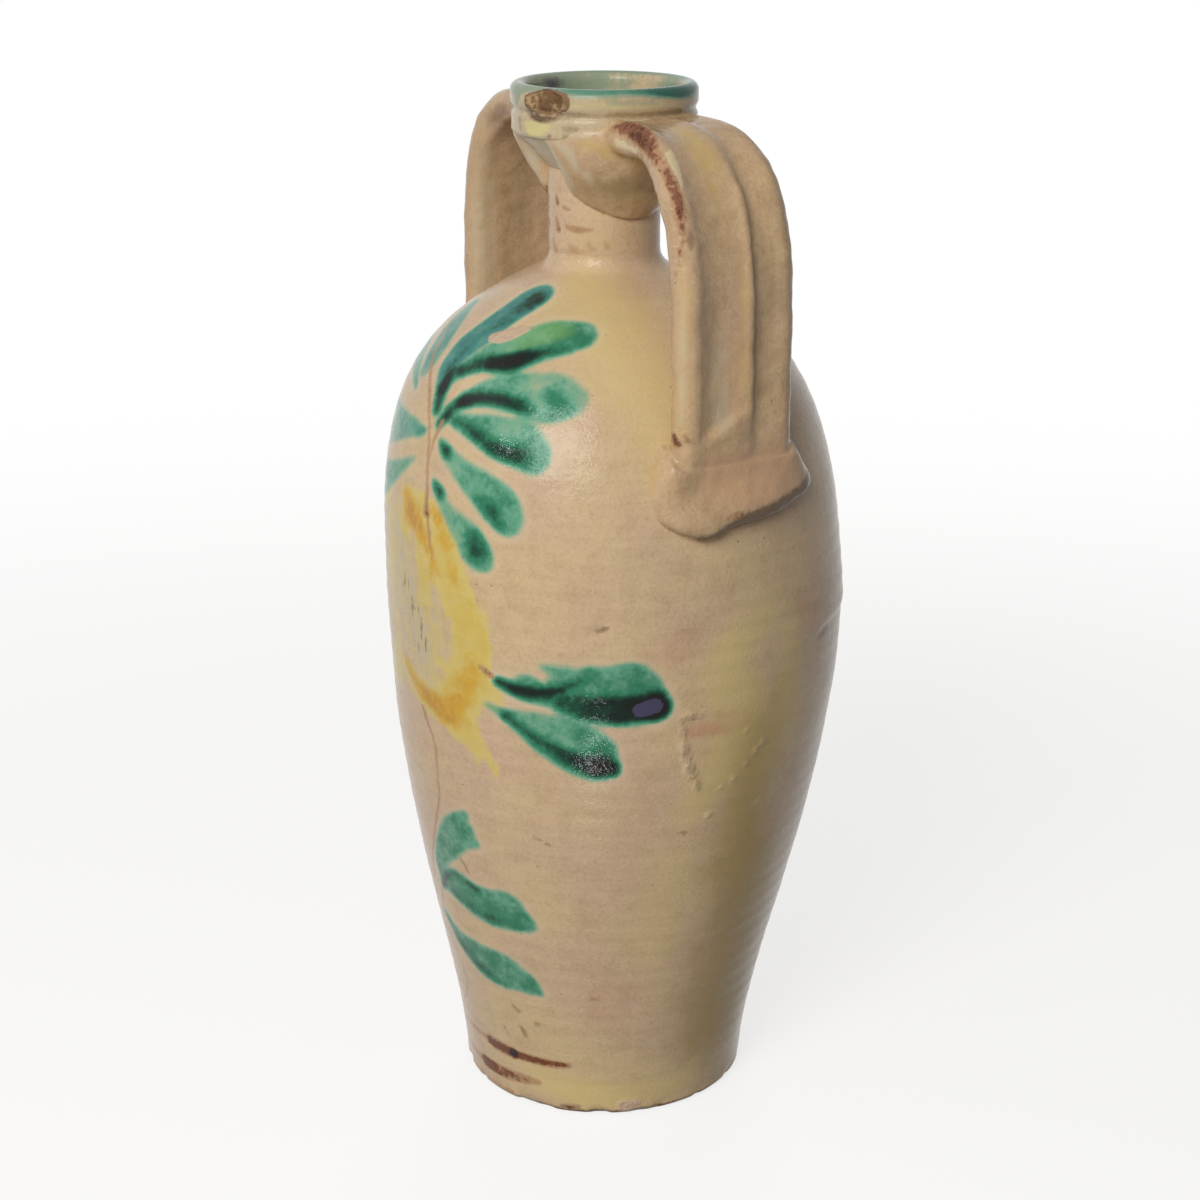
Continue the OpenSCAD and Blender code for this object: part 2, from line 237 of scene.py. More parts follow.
# Green leaves, as strokes on the wall: angle from the front, height, half width and load of paint
LEAVES = (
    ((1, 317, 3.8, 0.50), (-1, 323, 5.5, 0.55), (1, 331, 7.2, 0.60), (5, 337, 7.4, 0.62),
     (9, 343, 7.0, 0.66), (13, 348, 7.4, 0.66), (16, 350, 6.6, 0.60)),
    ((-27, 341, 5.0, 0.34), (-20, 334, 7.4, 0.42), (-15, 326, 7.4, 0.42), (-14, 320, 5.0, 0.34)),
    ((7, 325, 3.8, 0.50), (14, 330, 6.2, 0.42), (24, 334, 7.4, 0.42), (34, 338, 8.1, 0.50),
     (43, 339, 7.9, 0.50), (48, 340, 6.4, 0.46)),
    ((13, 315, 3.6, 0.50), (22, 319, 6.2, 0.42), (32, 320, 8.6, 0.38), (42, 320, 9.6, 0.34),
     (47, 319, 7.4, 0.30)),
    ((9, 307, 1.6, 0.50), (19, 306, 5.2, 0.50), (29, 304, 8.4, 0.42), (35, 302, 9.0, 0.42),
     (38, 299, 7.2, 0.50)),
    ((8, 298, 1.0, 0.40), (11, 295, 2.9, 0.40), (18, 289, 5.0, 0.48), (25, 284, 7.1, 0.50),
     (30, 279, 8.3, 0.48), (32, 275, 7.1, 0.52)),
    ((8, 283, 1.0, 0.40), (11, 279, 2.8, 0.35), (15, 272, 4.4, 0.33), (20, 266, 6.4, 0.36),
     (23, 261, 7.5, 0.46), (25, 258, 5.8, 0.50)),
    ((1, 300, 0.8, 0.40), (-5, 299, 3.7, 0.40), (-14, 297, 6.3, 0.36), (-24, 295, 9.0, 0.30),
     (-34, 296, 8.0, 0.28), (-40, 298, 5.0, 0.25)),
    ((-20, 318, 1.4, 0.50), (-15, 313, 1.6, 0.55)),
    ((-14, 312, 1.0, 0.50), (-20, 316, 3.0, 0.50), (-30, 322, 6.0, 0.50), (-42, 327, 7.0, 0.50),
     (-50, 328, 5.0, 0.50)),
    ((-2, 288, 1.0, 0.40), (-8, 283, 3.0, 0.40), (-17, 276, 5.6, 0.50), (-26, 270, 8.0, 0.56),
     (-30, 266, 6.5, 0.58)),
    ((28, 208, 1.4, 0.90), (32, 206.5, 3.0, 0.80), (39, 205, 4.0, 0.70), (44, 205, 5.0, 0.60)),
    ((32, 207, 2.3, 0.55), (36, 210, 3.2, 0.50), (39, 208, 2.6, 0.55)),
    ((45, 207, 8.5, 0.40), (51, 207, 11.4, 0.44), (57, 207, 12.4, 0.50), (61, 208, 12.0, 0.54),
     (64, 205, 8.8, 0.66)),
    ((63, 205, 8.5, 0.70), (67, 201, 5.4, 0.90)),
    ((47, 209, 9.0, 0.42), (43, 215, 3.4, 0.40), (40, 217, 1.0, 0.40)),
    ((30, 195, 1.6, 0.60), (35, 193, 4.6, 0.40), (42, 190, 7.5, 0.36), (48, 186, 9.2, 0.40),
     (52, 182, 9.0, 0.50), (54, 178, 6.4, 0.70)),
    ((54, 179, 6.2, 0.70), (56.5, 174.5, 2.6, 0.80)),
    ((25, 197, 0.9, 0.45), (27, 196, 1.5, 0.55), (30, 194, 2.0, 0.60)),
    ((-5, 101, 1.6, 0.62), (-3, 111, 4.0, 0.55), (3, 122, 7.0, 0.50), (9, 131, 8.5, 0.48),
     (12, 134, 8.0, 0.50)),
    ((11, 132, 7.0, 0.50), (15, 131, 4.0, 0.56), (17.5, 130, 1.6, 0.60)),
    ((10, 134, 7.0, 0.50), (14, 142, 2.6, 0.46)),
    ((-5, 99, 2.0, 0.52), (4, 101.5, 5.4, 0.54), (15, 101, 8.2, 0.54), (25, 101, 9.6, 0.50)),
    ((25, 100, 9.0, 0.52), (31, 97, 5.0, 0.56), (34, 95, 1.5, 0.60)),
    ((-9, 82, 1.4, 0.48), (-2, 75, 4.0, 0.54), (9, 70, 8.0, 0.56), (20, 68, 9.8, 0.50)),
    ((21, 68, 9.5, 0.50), (29, 64.5, 5.5, 0.52), (34, 61, 1.5, 0.56)),
    ((-34, 210, 1.6, 0.80), (-44, 209, 4.0, 0.60), (-54, 208, 9.0, 0.56), (-66, 208, 11.5, 0.60),
     (-72, 203, 7.0, 0.80)),
    ((-34, 196, 1.6, 0.60), (-43, 190, 5.5, 0.50), (-51, 184, 9.0, 0.50), (-57, 178, 5.0, 0.70)),
    ((-33, 104, 1.4, 0.60), (-42, 107, 4.0, 0.55), (-52, 105, 8.4, 0.54), (-62, 104, 8.4, 0.56)),
    ((-31, 84, 1.4, 0.56), (-39, 75, 4.0, 0.56), (-50, 69, 8.4, 0.56), (-62, 67, 9.0, 0.58)),
)

# Where the green glaze ran thick and dark
POOLS = (
    ((3, 309, 2.6, 0.90), (2, 315, 3.2, 0.90), (3, 321, 3.6, 0.75), (8, 324, 3.0, 0.50),
     (13, 327, 3.4, 0.60)),
    ((17, 328, 3.4, 0.90), (24, 329, 4.1, 1.10), (29, 331, 3.7, 1.00), (36, 333, 2.4, 0.60),
     (44, 335, 2.2, 0.25)),
    ((46, 340, 3.4, 0.20), (49, 338, 3.4, 0.20)),
    ((0, 322, 2.6, 0.40), (3, 333, 2.0, 0.22), (8, 341, 2.4, 0.20)),
    ((11, 345, 3.0, 0.22), (16.5, 349, 4.4, 0.48)),
    ((6, 304, 1.8, 0.95), (9, 310, 2.4, 0.95), (15, 315, 2.5, 0.90), (23, 317, 2.4, 0.80),
     (31, 316, 2.4, 0.66), (36, 314, 2.2, 0.42)),
    ((40, 320, 2.6, 0.22), (43, 318, 3.6, 0.36), (46, 316, 2.6, 0.26)),
    ((33, 313, 2.0, 0.25), (40, 312, 2.2, 0.28), (45, 313, 2.0, 0.20)),
    ((12, 307, 1.6, 0.35), (18, 305, 2.0, 0.45), (25, 301, 2.8, 0.55), (29, 299, 3.0, 0.70),
     (36, 298, 3.6, 0.46)),
    ((9, 297, 1.2, 0.50), (11, 295, 2.2, 0.70)),
    ((24, 280, 2.0, 0.26), (28, 276, 3.0, 0.38), (30, 273, 2.6, 0.30)),
    ((9, 281, 1.3, 0.50), (11, 279, 2.3, 0.70)), ((23, 265, 3.4, 0.36), (24, 261, 4.4, 0.42)),
    ((0, 299, 1.4, 0.30), (-3, 298, 2.0, 0.25)),
    ((29, 208, 1.5, 0.50), (34, 206, 1.8, 0.60), (41, 206.5, 1.8, 0.65), (44, 208, 1.4, 0.65),
     (46, 210, 1.3, 0.55), (49, 212, 1.2, 0.45)),
    ((45, 202, 4.0, 0.50), (51, 201, 5.4, 0.62), (57, 200, 5.8, 0.68), (62, 200, 6.0, 0.72),
     (67, 202, 5.6, 0.72)),
    ((46, 198, 1.8, 0.24), (54, 195.5, 1.8, 0.30), (62, 195.5, 1.8, 0.30)),
    ((30, 194, 2.0, 0.50), (35, 188, 2.6, 0.60), (40, 183, 3.4, 0.66), (46, 178, 4.4, 0.76),
     (52, 175, 4.8, 0.80), (56, 175, 3.6, 0.64)),
    ((-5, 101, 1.4, 0.20), (-5, 110, 1.8, 0.25)),
    ((-5, 98, 1.4, 0.90), (-1, 105, 1.5, 0.95), (4, 109, 1.5, 0.95), (9, 109, 1.4, 0.80),
     (15, 106.5, 1.0, 0.55)),
    ((3, 98, 2.4, 0.25), (11, 94.5, 3.0, 0.30), (19, 93, 3.2, 0.32), (28, 95, 2.8, 0.24)),
    ((-7, 80, 2.0, 0.20), (0, 70.5, 2.6, 0.30), (9, 64, 2.6, 0.32), (15, 60.5, 2.2, 0.25)),
    ((-36, 207, 1.6, 0.50), (-46, 203, 4.0, 0.50), (-58, 200, 5.2, 0.56), (-70, 202, 4.6, 0.50)),
    ((-35, 195, 1.6, 0.45), (-44, 186, 2.4, 0.50), (-54, 177, 3.4, 0.60)),
    ((-34, 100, 2.4, 0.25), (-45, 96, 2.8, 0.32), (-58, 97, 2.4, 0.24)),
    ((-33, 80, 2.2, 0.22), (-42, 67, 2.6, 0.32), (-52, 61, 2.2, 0.25)),
)

# A bluer wash over the upper left leaves, a yellower one over the broad leaf and the low leaf's tip
BLUE_WASH = (LEAVES[0], LEAVES[1], LEAVES[7], LEAVES[8])
LIME_WASH = (
    ((14, 331, 2.0, 0.30), (24, 336, 5.0, 0.70), (34, 340, 6.0, 0.85), (42, 341, 5.0, 0.55),
     (47, 341, 3.0, 0.20)),
    ((24, 197.5, 1.2, 0.90), (27, 196, 1.6, 0.90), (29, 195, 1.4, 0.40)),
)
VIOLET_SPOT = (
    ((63, 200.2, 3.2, 1.0), (66.5, 202, 3.4, 1.0)), ((-66, 201, 3.2, 1.0), (-70, 203, 3.2, 1.0)),
)

# The yellow flower, its orange strokes, and its worn middle
YELLOW = (
    ((-4, 272, 6.0, 0.70), (5, 269, 7.0, 0.80), (11, 264, 7.5, 0.90), (14, 252, 8.5, 0.90),
     (16, 242, 8.5, 0.90), (20, 232, 9.0, 1.00), (21, 222, 9.0, 1.00), (21, 212, 9.0, 1.00),
     (18, 202, 10.0, 1.00), (14, 193, 9.0, 1.00)),
    ((14, 194, 9.0, 1.00), (16, 186, 7.6, 1.00), (20, 179, 5.0, 0.80), (25.5, 169.5, 2.2, 0.60)),
    ((21, 206, 6.0, 0.90), (26, 203, 4.6, 0.70), (29, 198, 2.4, 0.50)),
    ((-13, 262, 6.0, 0.60), (-14, 240, 5.0, 0.60), (-14, 227, 4.4, 0.55), (-12, 217, 4.0, 0.50),
     (-13, 200, 4.4, 0.60)),
    ((5, 256, 6.0, 0.75), (6, 240, 5.4, 0.75), (5, 228, 4.0, 0.60)),
    ((-4, 262, 7.0, 0.75), (-6, 252, 5.0, 0.60)),
    ((2, 214, 3.0, 0.70), (8, 211, 3.4, 0.75), (13, 209, 3.0, 0.70)),
    ((-8, 200, 4.0, 0.60), (0, 193, 5.0, 0.90), (7, 190, 6.0, 1.00), (13, 187, 6.0, 1.00)),
    ((-18, 270, 6.0, 0.80), (-30, 264, 8.0, 0.90), (-38, 250, 8.5, 0.95), (-42, 230, 8.0, 0.95),
     (-38, 208, 8.0, 1.00), (-26, 196, 8.0, 0.95), (-14, 194, 6.0, 0.80)),
)
AMBER = (
    ((-8, 203, 2.6, 0.80), (-3, 197, 3.4, 1.00), (4, 191, 5.0, 1.05), (12, 188.5, 7.0, 1.00),
     (16, 187, 5.0, 0.80)),
    ((21, 216, 4.0, 0.60), (20.5, 210, 5.0, 0.80), (18.5, 203, 6.0, 0.85), (15, 194, 6.0, 0.90)),
    ((14.5, 258, 3.0, 0.80), (17, 247, 2.6, 0.60), (18, 238, 1.6, 0.30)),
    ((-3, 271, 4.4, 0.90), (0, 267, 6.0, 1.15), (4, 262, 5.0, 1.00), (9, 252, 3.0, 0.80),
     (10, 242, 2.4, 0.50)),
    ((9, 271, 3.4, 0.80), (12, 267, 4.0, 1.00), (13, 258, 3.4, 0.70)),
    ((-34, 258, 3.0, 0.80), (-40, 240, 3.0, 0.80), (-37, 214, 3.4, 0.90)),
)
WORN = (
    ((-10, 264, 6, 0.50), (-7, 250, 9, 0.85), (-3, 236, 10, 0.95), (1, 220, 10, 0.95),
     (4, 206, 8, 0.85), (6, 196, 4, 0.45)),
    ((-26, 252, 5, 0.45), (-24, 236, 6, 0.60), (-26, 222, 6, 0.55), (-22, 208, 5, 0.50)),
    ((9, 240, 4, 0.60), (10, 226, 5, 0.80), (11, 212, 4, 0.70)), ((-8, 285, 3, 0.50), (-6, 280, 3, 0.50)),
)

# Iron brown brush lines: stems, bands at the base and dashes round the neck
STEMS = (
    ((-29, 335, 0.8, 0.50), (-19, 330, 1.0, 0.55), (-13, 323, 1.1, 0.60), (-7, 317, 1.1, 0.60),
     (-1, 308, 1.1, 0.55), (3, 298, 1.0, 0.55), (5, 285, 1.0, 0.55), (6, 278, 1.0, 0.60),
     (6, 269, 1.3, 0.80)),
    ((7, 305, 1.0, 0.70), (6, 300, 1.0, 0.60), (5, 294, 0.9, 0.55), (5, 285, 0.9, 0.50),
     (6, 277, 0.9, 0.55), (7, 269, 1.0, 0.70), (8, 260, 0.9, 0.60), (9, 252, 0.8, 0.40)),
    ((1, 185, 0.9, 0.80), (3, 178, 0.9, 0.70), (5, 171, 0.8, 0.60), (5, 164, 0.8, 0.58),
     (4.5, 149, 0.8, 0.55), (2, 139, 0.8, 0.55), (-4, 122, 0.9, 0.55), (-12, 101, 1.0, 0.55),
     (-20, 78, 1.0, 0.50), (-27, 55, 1.0, 0.50), (-26, 38, 1.0, 0.45)),
    ((-7, 95, 1.0, 0.50), (-12, 77, 1.0, 0.45), (-8, 66, 0.9, 0.42), (-5, 55, 0.9, 0.40),
     (-6, 45, 1.0, 0.40), (-14, 34, 1.0, 0.40)),
    ((23.5, 212.8, 1.2, 0.50), (25, 211.4, 1.4, 0.70), (26.8, 209.8, 1.3, 0.60)),
    ((-13, 98, 0.9, 0.45), (-22, 101, 0.9, 0.50), (-33, 104, 1.0, 0.55)),
    ((-20, 78, 0.9, 0.45), (-26, 81, 0.9, 0.50), (-31, 84, 1.0, 0.55)),
)
BANDS = (
    ((-60, 25, 1.4, 0.46), (-30, 24.6, 1.5, 0.48), (-7, 24.4, 1.6, 0.50), (2, 24.4, 2.0, 0.60),
     (6, 24, 2.8, 1.00), (14, 23.7, 2.8, 1.05), (17.5, 23.6, 2.6, 1.00), (19, 23.6, 2.7, 1.60),
     (21, 23.6, 2.4, 0.95), (32, 24, 2.1, 0.92), (43, 24.2, 1.5, 0.80)),
    ((-55, 12, 1.4, 0.46), (-20, 11, 1.5, 0.46), (-5, 11.0, 1.6, 0.50), (0, 10.6, 2.8, 1.00),
     (8, 10.6, 3.0, 0.92), (18, 11.4, 2.6, 0.78), (24, 12, 2.2, 0.66), (30, 12.6, 1.6, 0.50)),
    ((-25, 3, 1.2, 0.30), (-11, 3, 1.4, 0.34), (4, 2.4, 1.4, 0.34), (16, 2.4, 1.8, 0.50)),
)
DASHES = (
    ((0.5, 386, 0.9, 0.70), (2, 384, 1.5, 0.85)), ((11, 382.4, 0.9, 0.50), (19, 381.8, 0.9, 0.50)),
    ((38, 385.2, 1.0, 0.55), (57, 381.6, 1.0, 0.55)), ((0, 377, 1.2, 0.60), (3, 373.4, 1.7, 0.75)),
    ((16, 374.8, 1.2, 0.45), (26, 374.2, 1.5, 0.60), (36, 374.2, 1.2, 0.50), (46, 374.6, 0.8, 0.35)),
    ((-8, 368, 1.8, 0.34), (-3, 365.0, 2.2, 0.42)), ((20, 368, 1.6, 0.28), (26, 366.0, 1.8, 0.34)),
    ((42, 368.6, 1.4, 0.26), (45, 367, 1.5, 0.32)), ((59, 369, 1.3, 0.26), (61, 367.6, 1.4, 0.30)),
    ((-24, 385, 1.4, 0.50), (-18, 384, 1.5, 0.55)), ((-24, 375.6, 1.4, 0.50), (-18, 374.6, 1.6, 0.55)),
    ((-8, 364.6, 1.4, 0.22), (18, 365, 1.4, 0.24), (48, 366.4, 1.2, 0.20)),
)

# Marks of the firing and of use: honey coloured glaze, pink blushes, scuffs, smudges and a scar; the olive
# is partly painted shade, one smudge is a painted shadow in the nick, and one darkens the ledge's step
HONEY = (
    ((96, 232, 10, 0.50), (88, 225, 11, 0.70), (85, 212, 12, 0.80), (90, 194, 14, 0.80),
     (85, 172, 13, 0.80), (77, 152, 9, 0.60)),
    ((104, 222, 10, 0.55), (104, 196, 12, 0.65), (98, 168, 12, 0.60), (92, 146, 10, 0.50)),
    ((26, 17, 5, 0.70), (40, 12, 7, 0.95), (54, 9, 8, 1.00), (66, 9, 6, 0.80), (90, 12, 7, 0.60)),
)
HONEY_WASH = (
    ((74, 130, 12, 0.45), (72, 100, 12, 0.45), (76, 60, 10, 0.40)),
    ((50, 353, 16, 0.66), (60, 342, 20, 0.74), (68, 322, 18, 0.70), (72, 300, 12, 0.55),
     (71, 280, 8, 0.35)),
    ((28, 346, 8, 0.50), (42, 353, 14, 0.85)), ((50, 372, 8, 0.50), (56, 388, 8, 0.45)),
    ((150, 300, 14, 0.50), (170, 240, 18, 0.40), (190, 150, 20, 0.45)),
    ((-120, 290, 14, 0.35), (-136, 210, 20, 0.35)),
)
# Olive brown down the lower right side: partly a darker glaze, partly painted shade
OLIVE_AND_SHADE = (
    ((100, 200, 10, 0.50), (96, 176, 14, 0.80), (94, 150, 14, 0.90), (98, 120, 18, 1.00),
     (104, 84, 20, 1.00), (108, 40, 22, 1.00)),
    ((94, 120, 12, 0.70), (96, 80, 14, 0.90), (98, 36, 14, 1.00)),
    ((150, 130, 22, 0.60), (160, 60, 22, 0.70)), ((2, 392, 2, 0.40), (6, 366, 2, 0.36)),
)
BLUSHES = (
    ((74, 226, 8, 0.40), (66, 222, 7, 0.35)),
    ((75, 189, 2.6, 1.00), (79, 190, 3.2, 1.00), (85, 188, 3.4, 0.70)),
    ((83, 193, 4.0, 0.60), (90, 191, 5.0, 0.50)), ((60, 62, 12, 0.35), (56, 50, 8, 0.35)),
    ((110, 232, 8, 0.50), (114, 222, 6, 0.40)), ((78, 168, 3.0, 0.40), (80, 180, 4.0, 0.40)),
    ((-100, 240, 14, 0.40), (-110, 220, 12, 0.40)), ((200, 200, 14, 0.40), (210, 180, 12, 0.40)),
)
SCUFFS = (
    ((11, 336, 2.3, 0.95), (16, 337, 3.6, 1.00), (21, 339, 2.7, 1.00), (25, 340, 1.3, 0.80)),
    ((65, 4, 3.0, 0.80), (70, 4, 3.0, 0.80)),
)
SMUDGES = (
    ((22, 50, 1.2, 0.60), (24, 48, 1.6, 0.60)), ((24, 40, 1.2, 0.60), (26, 36, 1.6, 0.60)),
    ((31, 44, 1.4, 0.55), (33, 44, 1.4, 0.55)), ((16, 36, 0.9, 0.50), (17, 33, 0.9, 0.50)),
    ((52, 61, 1.6, 0.40), (54, 61, 1.6, 0.40)),
    ((9.5, 120, 1.2, 0.60), (11, 116, 1.5, 0.65), (12, 113.6, 1.1, 0.50)),
    # the second stroke on the next line darkens the nick's right side: painted shadow in the dent
    ((36, 141, 1.0, 0.50), (41, 138, 1.3, 0.50)), ((53, 232.5, 1.0, 0.70), (55.5, 234, 0.9, 0.90)),
    ((76, 143.5, 1.0, 0.90), (74, 144.5, 0.8, 0.60)),
    ((40, 3.0, 1.2, 0.80), (43, 2.4, 1.6, 0.95), (47, 3.4, 1.2, 0.70)),
    ((34, 0.8, 1.4, 1.00), (56, 0.6, 1.6, 1.10), (66, 0.8, 1.4, 1.00), (84, 0.6, 1.6, 1.00),
     (110, 0.8, 1.4, 1.00)),
    # the second stroke on the next line paints a darker spot on the ledge's step
    ((10, 0.6, 1.2, 0.80), (34, 0.8, 1.4, 1.00)), ((118, 214, 2.0, 0.60), (122, 216, 2.0, 0.60)),
)
SCAR_EDGE = (
    ((78, 196.5, 1.2, 0.70), (74.5, 196.6, 1.5, 0.80), (73, 194, 1.4, 0.80), (73.6, 188, 1.2, 0.80),
     (74, 181, 1.5, 0.90), (75.2, 176, 1.9, 1.00), (76, 171, 2.1, 1.00), (77.6, 166.5, 1.6, 0.90),
     (78.4, 163, 1.2, 0.60)),
)
BUMPS = (
    ((96.8, 178.4, 0.9, 1.00), (96.4, 177.4, 0.8, 1.00)),
    ((94.6, 175.2, 1.0, 1.00), (94.3, 174.6, 0.9, 1.00)),
    ((91.8, 170.6, 0.7, 0.90), (91.6, 170.2, 0.7, 0.90)),
    ((88.4, 165.0, 1.0, 1.00), (88.2, 164.6, 0.9, 1.00)),
    ((85.0, 162.2, 0.7, 0.90), (84.8, 162.0, 0.7, 0.90)),
    ((82.1, 150.6, 1.1, 0.90), (82.2, 150.0, 1.1, 0.90)),
    ((75.4, 175, 1.4, 1.00), (75.8, 173.6, 1.2, 1.00)),
    ((91, 185.4, 0.8, 0.80), (91.2, 185.8, 0.8, 0.80)), ((98, 150, 0.8, 0.80), (98.2, 150, 0.8, 0.80)),
    ((77.6, 166, 1.5, 1.00), (78, 165.4, 1.4, 1.00)), ((74, 183, 1.1, 0.90), (74, 182, 1.1, 0.90)),
    ((75.4, 197, 1.2, 0.80), (74.6, 196.8, 1.2, 0.80)),
    ((76.4, 169.8, 1.2, 1.00), (76.5, 169.4, 1.1, 1.00)),
)
NICK = (
    ((52, 231.5, 1.6, 1.0), (54.5, 233.5, 2.0, 1.0)),
)


def between(spots):
    """Spots with three more set smoothly between each two."""
    spots = np.array(spots, dtype=float)
    ends = np.concatenate([[2 * spots[0] - spots[1]], spots, [2 * spots[-1] - spots[-2]]])
    t = np.arange(0.0, 1.0, 0.25)[:, None]
    rows = []
    for p, q, r, w in zip(ends, ends[1:], ends[2:], ends[3:]):
        rows.append(q + 0.5 * t * (r - p + t * (2 * p - 5 * q + 4 * r - w + t * (3 * (q - r) + w - p))))
    return np.concatenate([*rows, spots[-1:]])


def on_wall(strokes):
    """Strokes given by angle and height, set on the jug's outer wall."""
    placed = []
    for stroke in strokes:
        angle, z, half, load = between(stroke).T
        turn = np.radians(angle)
        r = body_r(z)
        placed.append(np.stack([r * np.sin(turn), -r * np.cos(turn), z, half, load], axis=1))
    return placed


def on_ring(strokes):
    """Strokes given by angle, radius and height."""
    placed = []
    for stroke in strokes:
        angle, r, z, half, load = between(stroke).T
        turn = np.radians(angle)
        placed.append(np.stack([r * np.sin(turn), -r * np.cos(turn), z, half, load], axis=1))
    return placed


def brushed(points, strokes, soft):
    """How much the brush left at each point; a stroke fades over a soft edge of so many millimetres."""
    cover = np.zeros(len(points))
    for stroke in strokes:
        reach = stroke[:, 3].max() + soft
        low = stroke[:, :3].min(axis=0) - reach
        high = stroke[:, :3].max(axis=0) + reach
        near = np.flatnonzero(np.all((points > low) & (points < high), axis=1))
        spots = points[near]
        most = cover[near]
        for start, end in zip(stroke, stroke[1:]):
            way = end - start
            t = np.clip((spots - start[:3]) @ way[:3] / max(way[:3] @ way[:3], 0.01), 0.0, 1.0)
            gap = np.linalg.norm(spots - start[:3] - t[:, None] * way[:3], axis=1)
            half = start[3] + way[3] * t
            load = start[4] + way[4] * t
            most = np.maximum(most, load * smooth((half - gap) / soft + 0.5))
        cover[near] = most
    return cover


# Paler edge painted round each leaf
HALO_WIDTH = 3.0
HALO = [[(angle, z, half + HALO_WIDTH, load) for angle, z, half, load in leaf] for leaf in LEAVES]

# Marks on the body: the mark, its soft edge in millimetres and its strokes
BODY_STROKES = (
    ("leaves", 4.6, LEAVES),
    ("pools", 5.4, POOLS),
    ("halo", 9.0, HALO),
    ("blue", 3.4, BLUE_WASH),
    ("lime", 6.0, LIME_WASH),
    ("violet", 1.8, VIOLET_SPOT),
    ("yellow", 9.0, YELLOW),
    ("amber", 8.0, AMBER),
    ("worn", 9.0, WORN),
    ("brown", 1.8, STEMS + BANDS + DASHES),
    ("honey", 21.0, HONEY),
    ("honey wash", 34.0, HONEY_WASH),
    ("olive_and_shade", 40.0, OLIVE_AND_SHADE),
    ("blush", 7.0, BLUSHES),
    ("scuff", 2.0, SCUFFS),
    ("smudge", 2.4, SMUDGES),
    ("scar", 2.0, SCAR_EDGE),
    ("bumps", 1.8, BUMPS),
)
SKIN_DEPTH = 4.0


def body_marks(points):
    """Paint, glaze colour and wear at each point of the body; there is none on its inside."""
    marks = {mark: brushed(points, on_wall(strokes), soft) for mark, soft, strokes in BODY_STROKES}
    thick = 1.0 + 0.30 * ripple(points, 9.0, 9) + 0.16 * ripple(points, 4.0, 10)
    worn = marks["worn"]
    marks["green"] = thick * marks.pop("leaves") + 1.1 * marks.pop("pools")
    marks["yellow"] = np.maximum(marks["yellow"] * (1.0 - 0.30 * worn), 0.60 * worn)
    marks["honey"] = np.maximum(marks["honey"], marks.pop("honey wash"))
    marks["scar"] = np.maximum(0.8 * marks["scar"], 0.5 * marks.pop("bumps"))
    depth = body_r(points[:, 2]) - np.hypot(points[:, 0], points[:, 1])
    outer = smooth((SKIN_DEPTH - depth) / 2.0)
    return {mark: values * outer for mark, values in marks.items()}


# Marks on the mouth ring, as strokes: angle from the front, radius, height, half width and load
RIM_GREEN = (
    ((-180, 34.6, 429.6, 2.6, 0.55), (-140, 34.6, 429.6, 2.6, 0.50), (-100, 34.6, 429.6, 2.8, 0.50),
     (-60, 34.8, 429.4, 3.0, 0.44), (-30, 35.2, 429.0, 3.2, 0.40), (-8, 35.6, 428.6, 3.0, 0.38),
     (8, 35.0, 429.6, 2.2, 0.42), (30, 35.0, 429.6, 2.2, 0.50), (42, 35.4, 429.0, 2.4, 0.62),
     (60, 35.4, 429.4, 2.3, 0.62), (80, 35.5, 429.6, 2.4, 0.80), (96, 35.9, 429.2, 3.0, 1.05),
     (115, 36.0, 428.8, 3.5, 1.10), (135, 35.6, 429.0, 3.1, 0.85), (180, 34.6, 429.6, 2.6, 0.55)),
    ((-8, 37.2, 426.0, 2.6, 0.24), (-12, 37.2, 421.5, 2.2, 0.20)),
    ((60, 37.2, 425.6, 1.6, 0.16), (90, 37.2, 425, 1.6, 0.16)),
)
CUP_GREEN = (
    ((-200, 30.6, 427, 3.0, 0.32), (-182, 30.6, 427, 4.0, 0.34), (-166, 30.6, 426, 4.0, 0.20),
     (-150, 30.6, 425, 4.0, 0.12), (-128, 30.6, 425, 5.0, 0.26), (-110, 30.6, 424, 6.0, 0.38),
     (-80, 30.6, 424, 6.0, 0.42), (-40, 30.6, 425, 5.0, 0.36), (0, 30.6, 426, 4.0, 0.32),
     (50, 30.6, 426, 4.0, 0.32), (110, 30.6, 426, 3.0, 0.28)),
)
RIM_VIOLET = (
    ((-72, 30.6, 427, 2.0, 0.80), (-80, 30.6, 426, 3.0, 1.00), (-90, 30.6, 426, 2.0, 0.60)),
)
# Brown band in the groove round the ring: partly glaze pooled in it, partly painted shade, heavier from 28°
# round to 190°
GROOVE_BAND_AND_SHADE = (tuple((a, 36.3, 420.2, 1.6, 0.75 if 28 < a < 190 else 0.45) for a in range(-10, 351, 15)),)
LIP_YELLOW = (
    ((2, 37, 415.4, 1.6, 0.70), (8, 37, 414.0, 2.8, 1.00), (15, 37, 414.2, 2.6, 1.00),
     (22, 37, 415.4, 1.4, 0.80)),
    ((36, 37.2, 424.4, 1.4, 0.35), (60, 37.2, 424.4, 1.6, 0.40), (90, 37.2, 423.6, 1.4, 0.35),
     (150, 37.2, 424, 1.4, 0.3)),
)
CHIP = (
    ((6, 36.4, 424.2, 3.2, 1.0), (19, 36, 424.6, 4.8, 1.1), (31, 36.4, 425, 3.6, 1.0)),
)
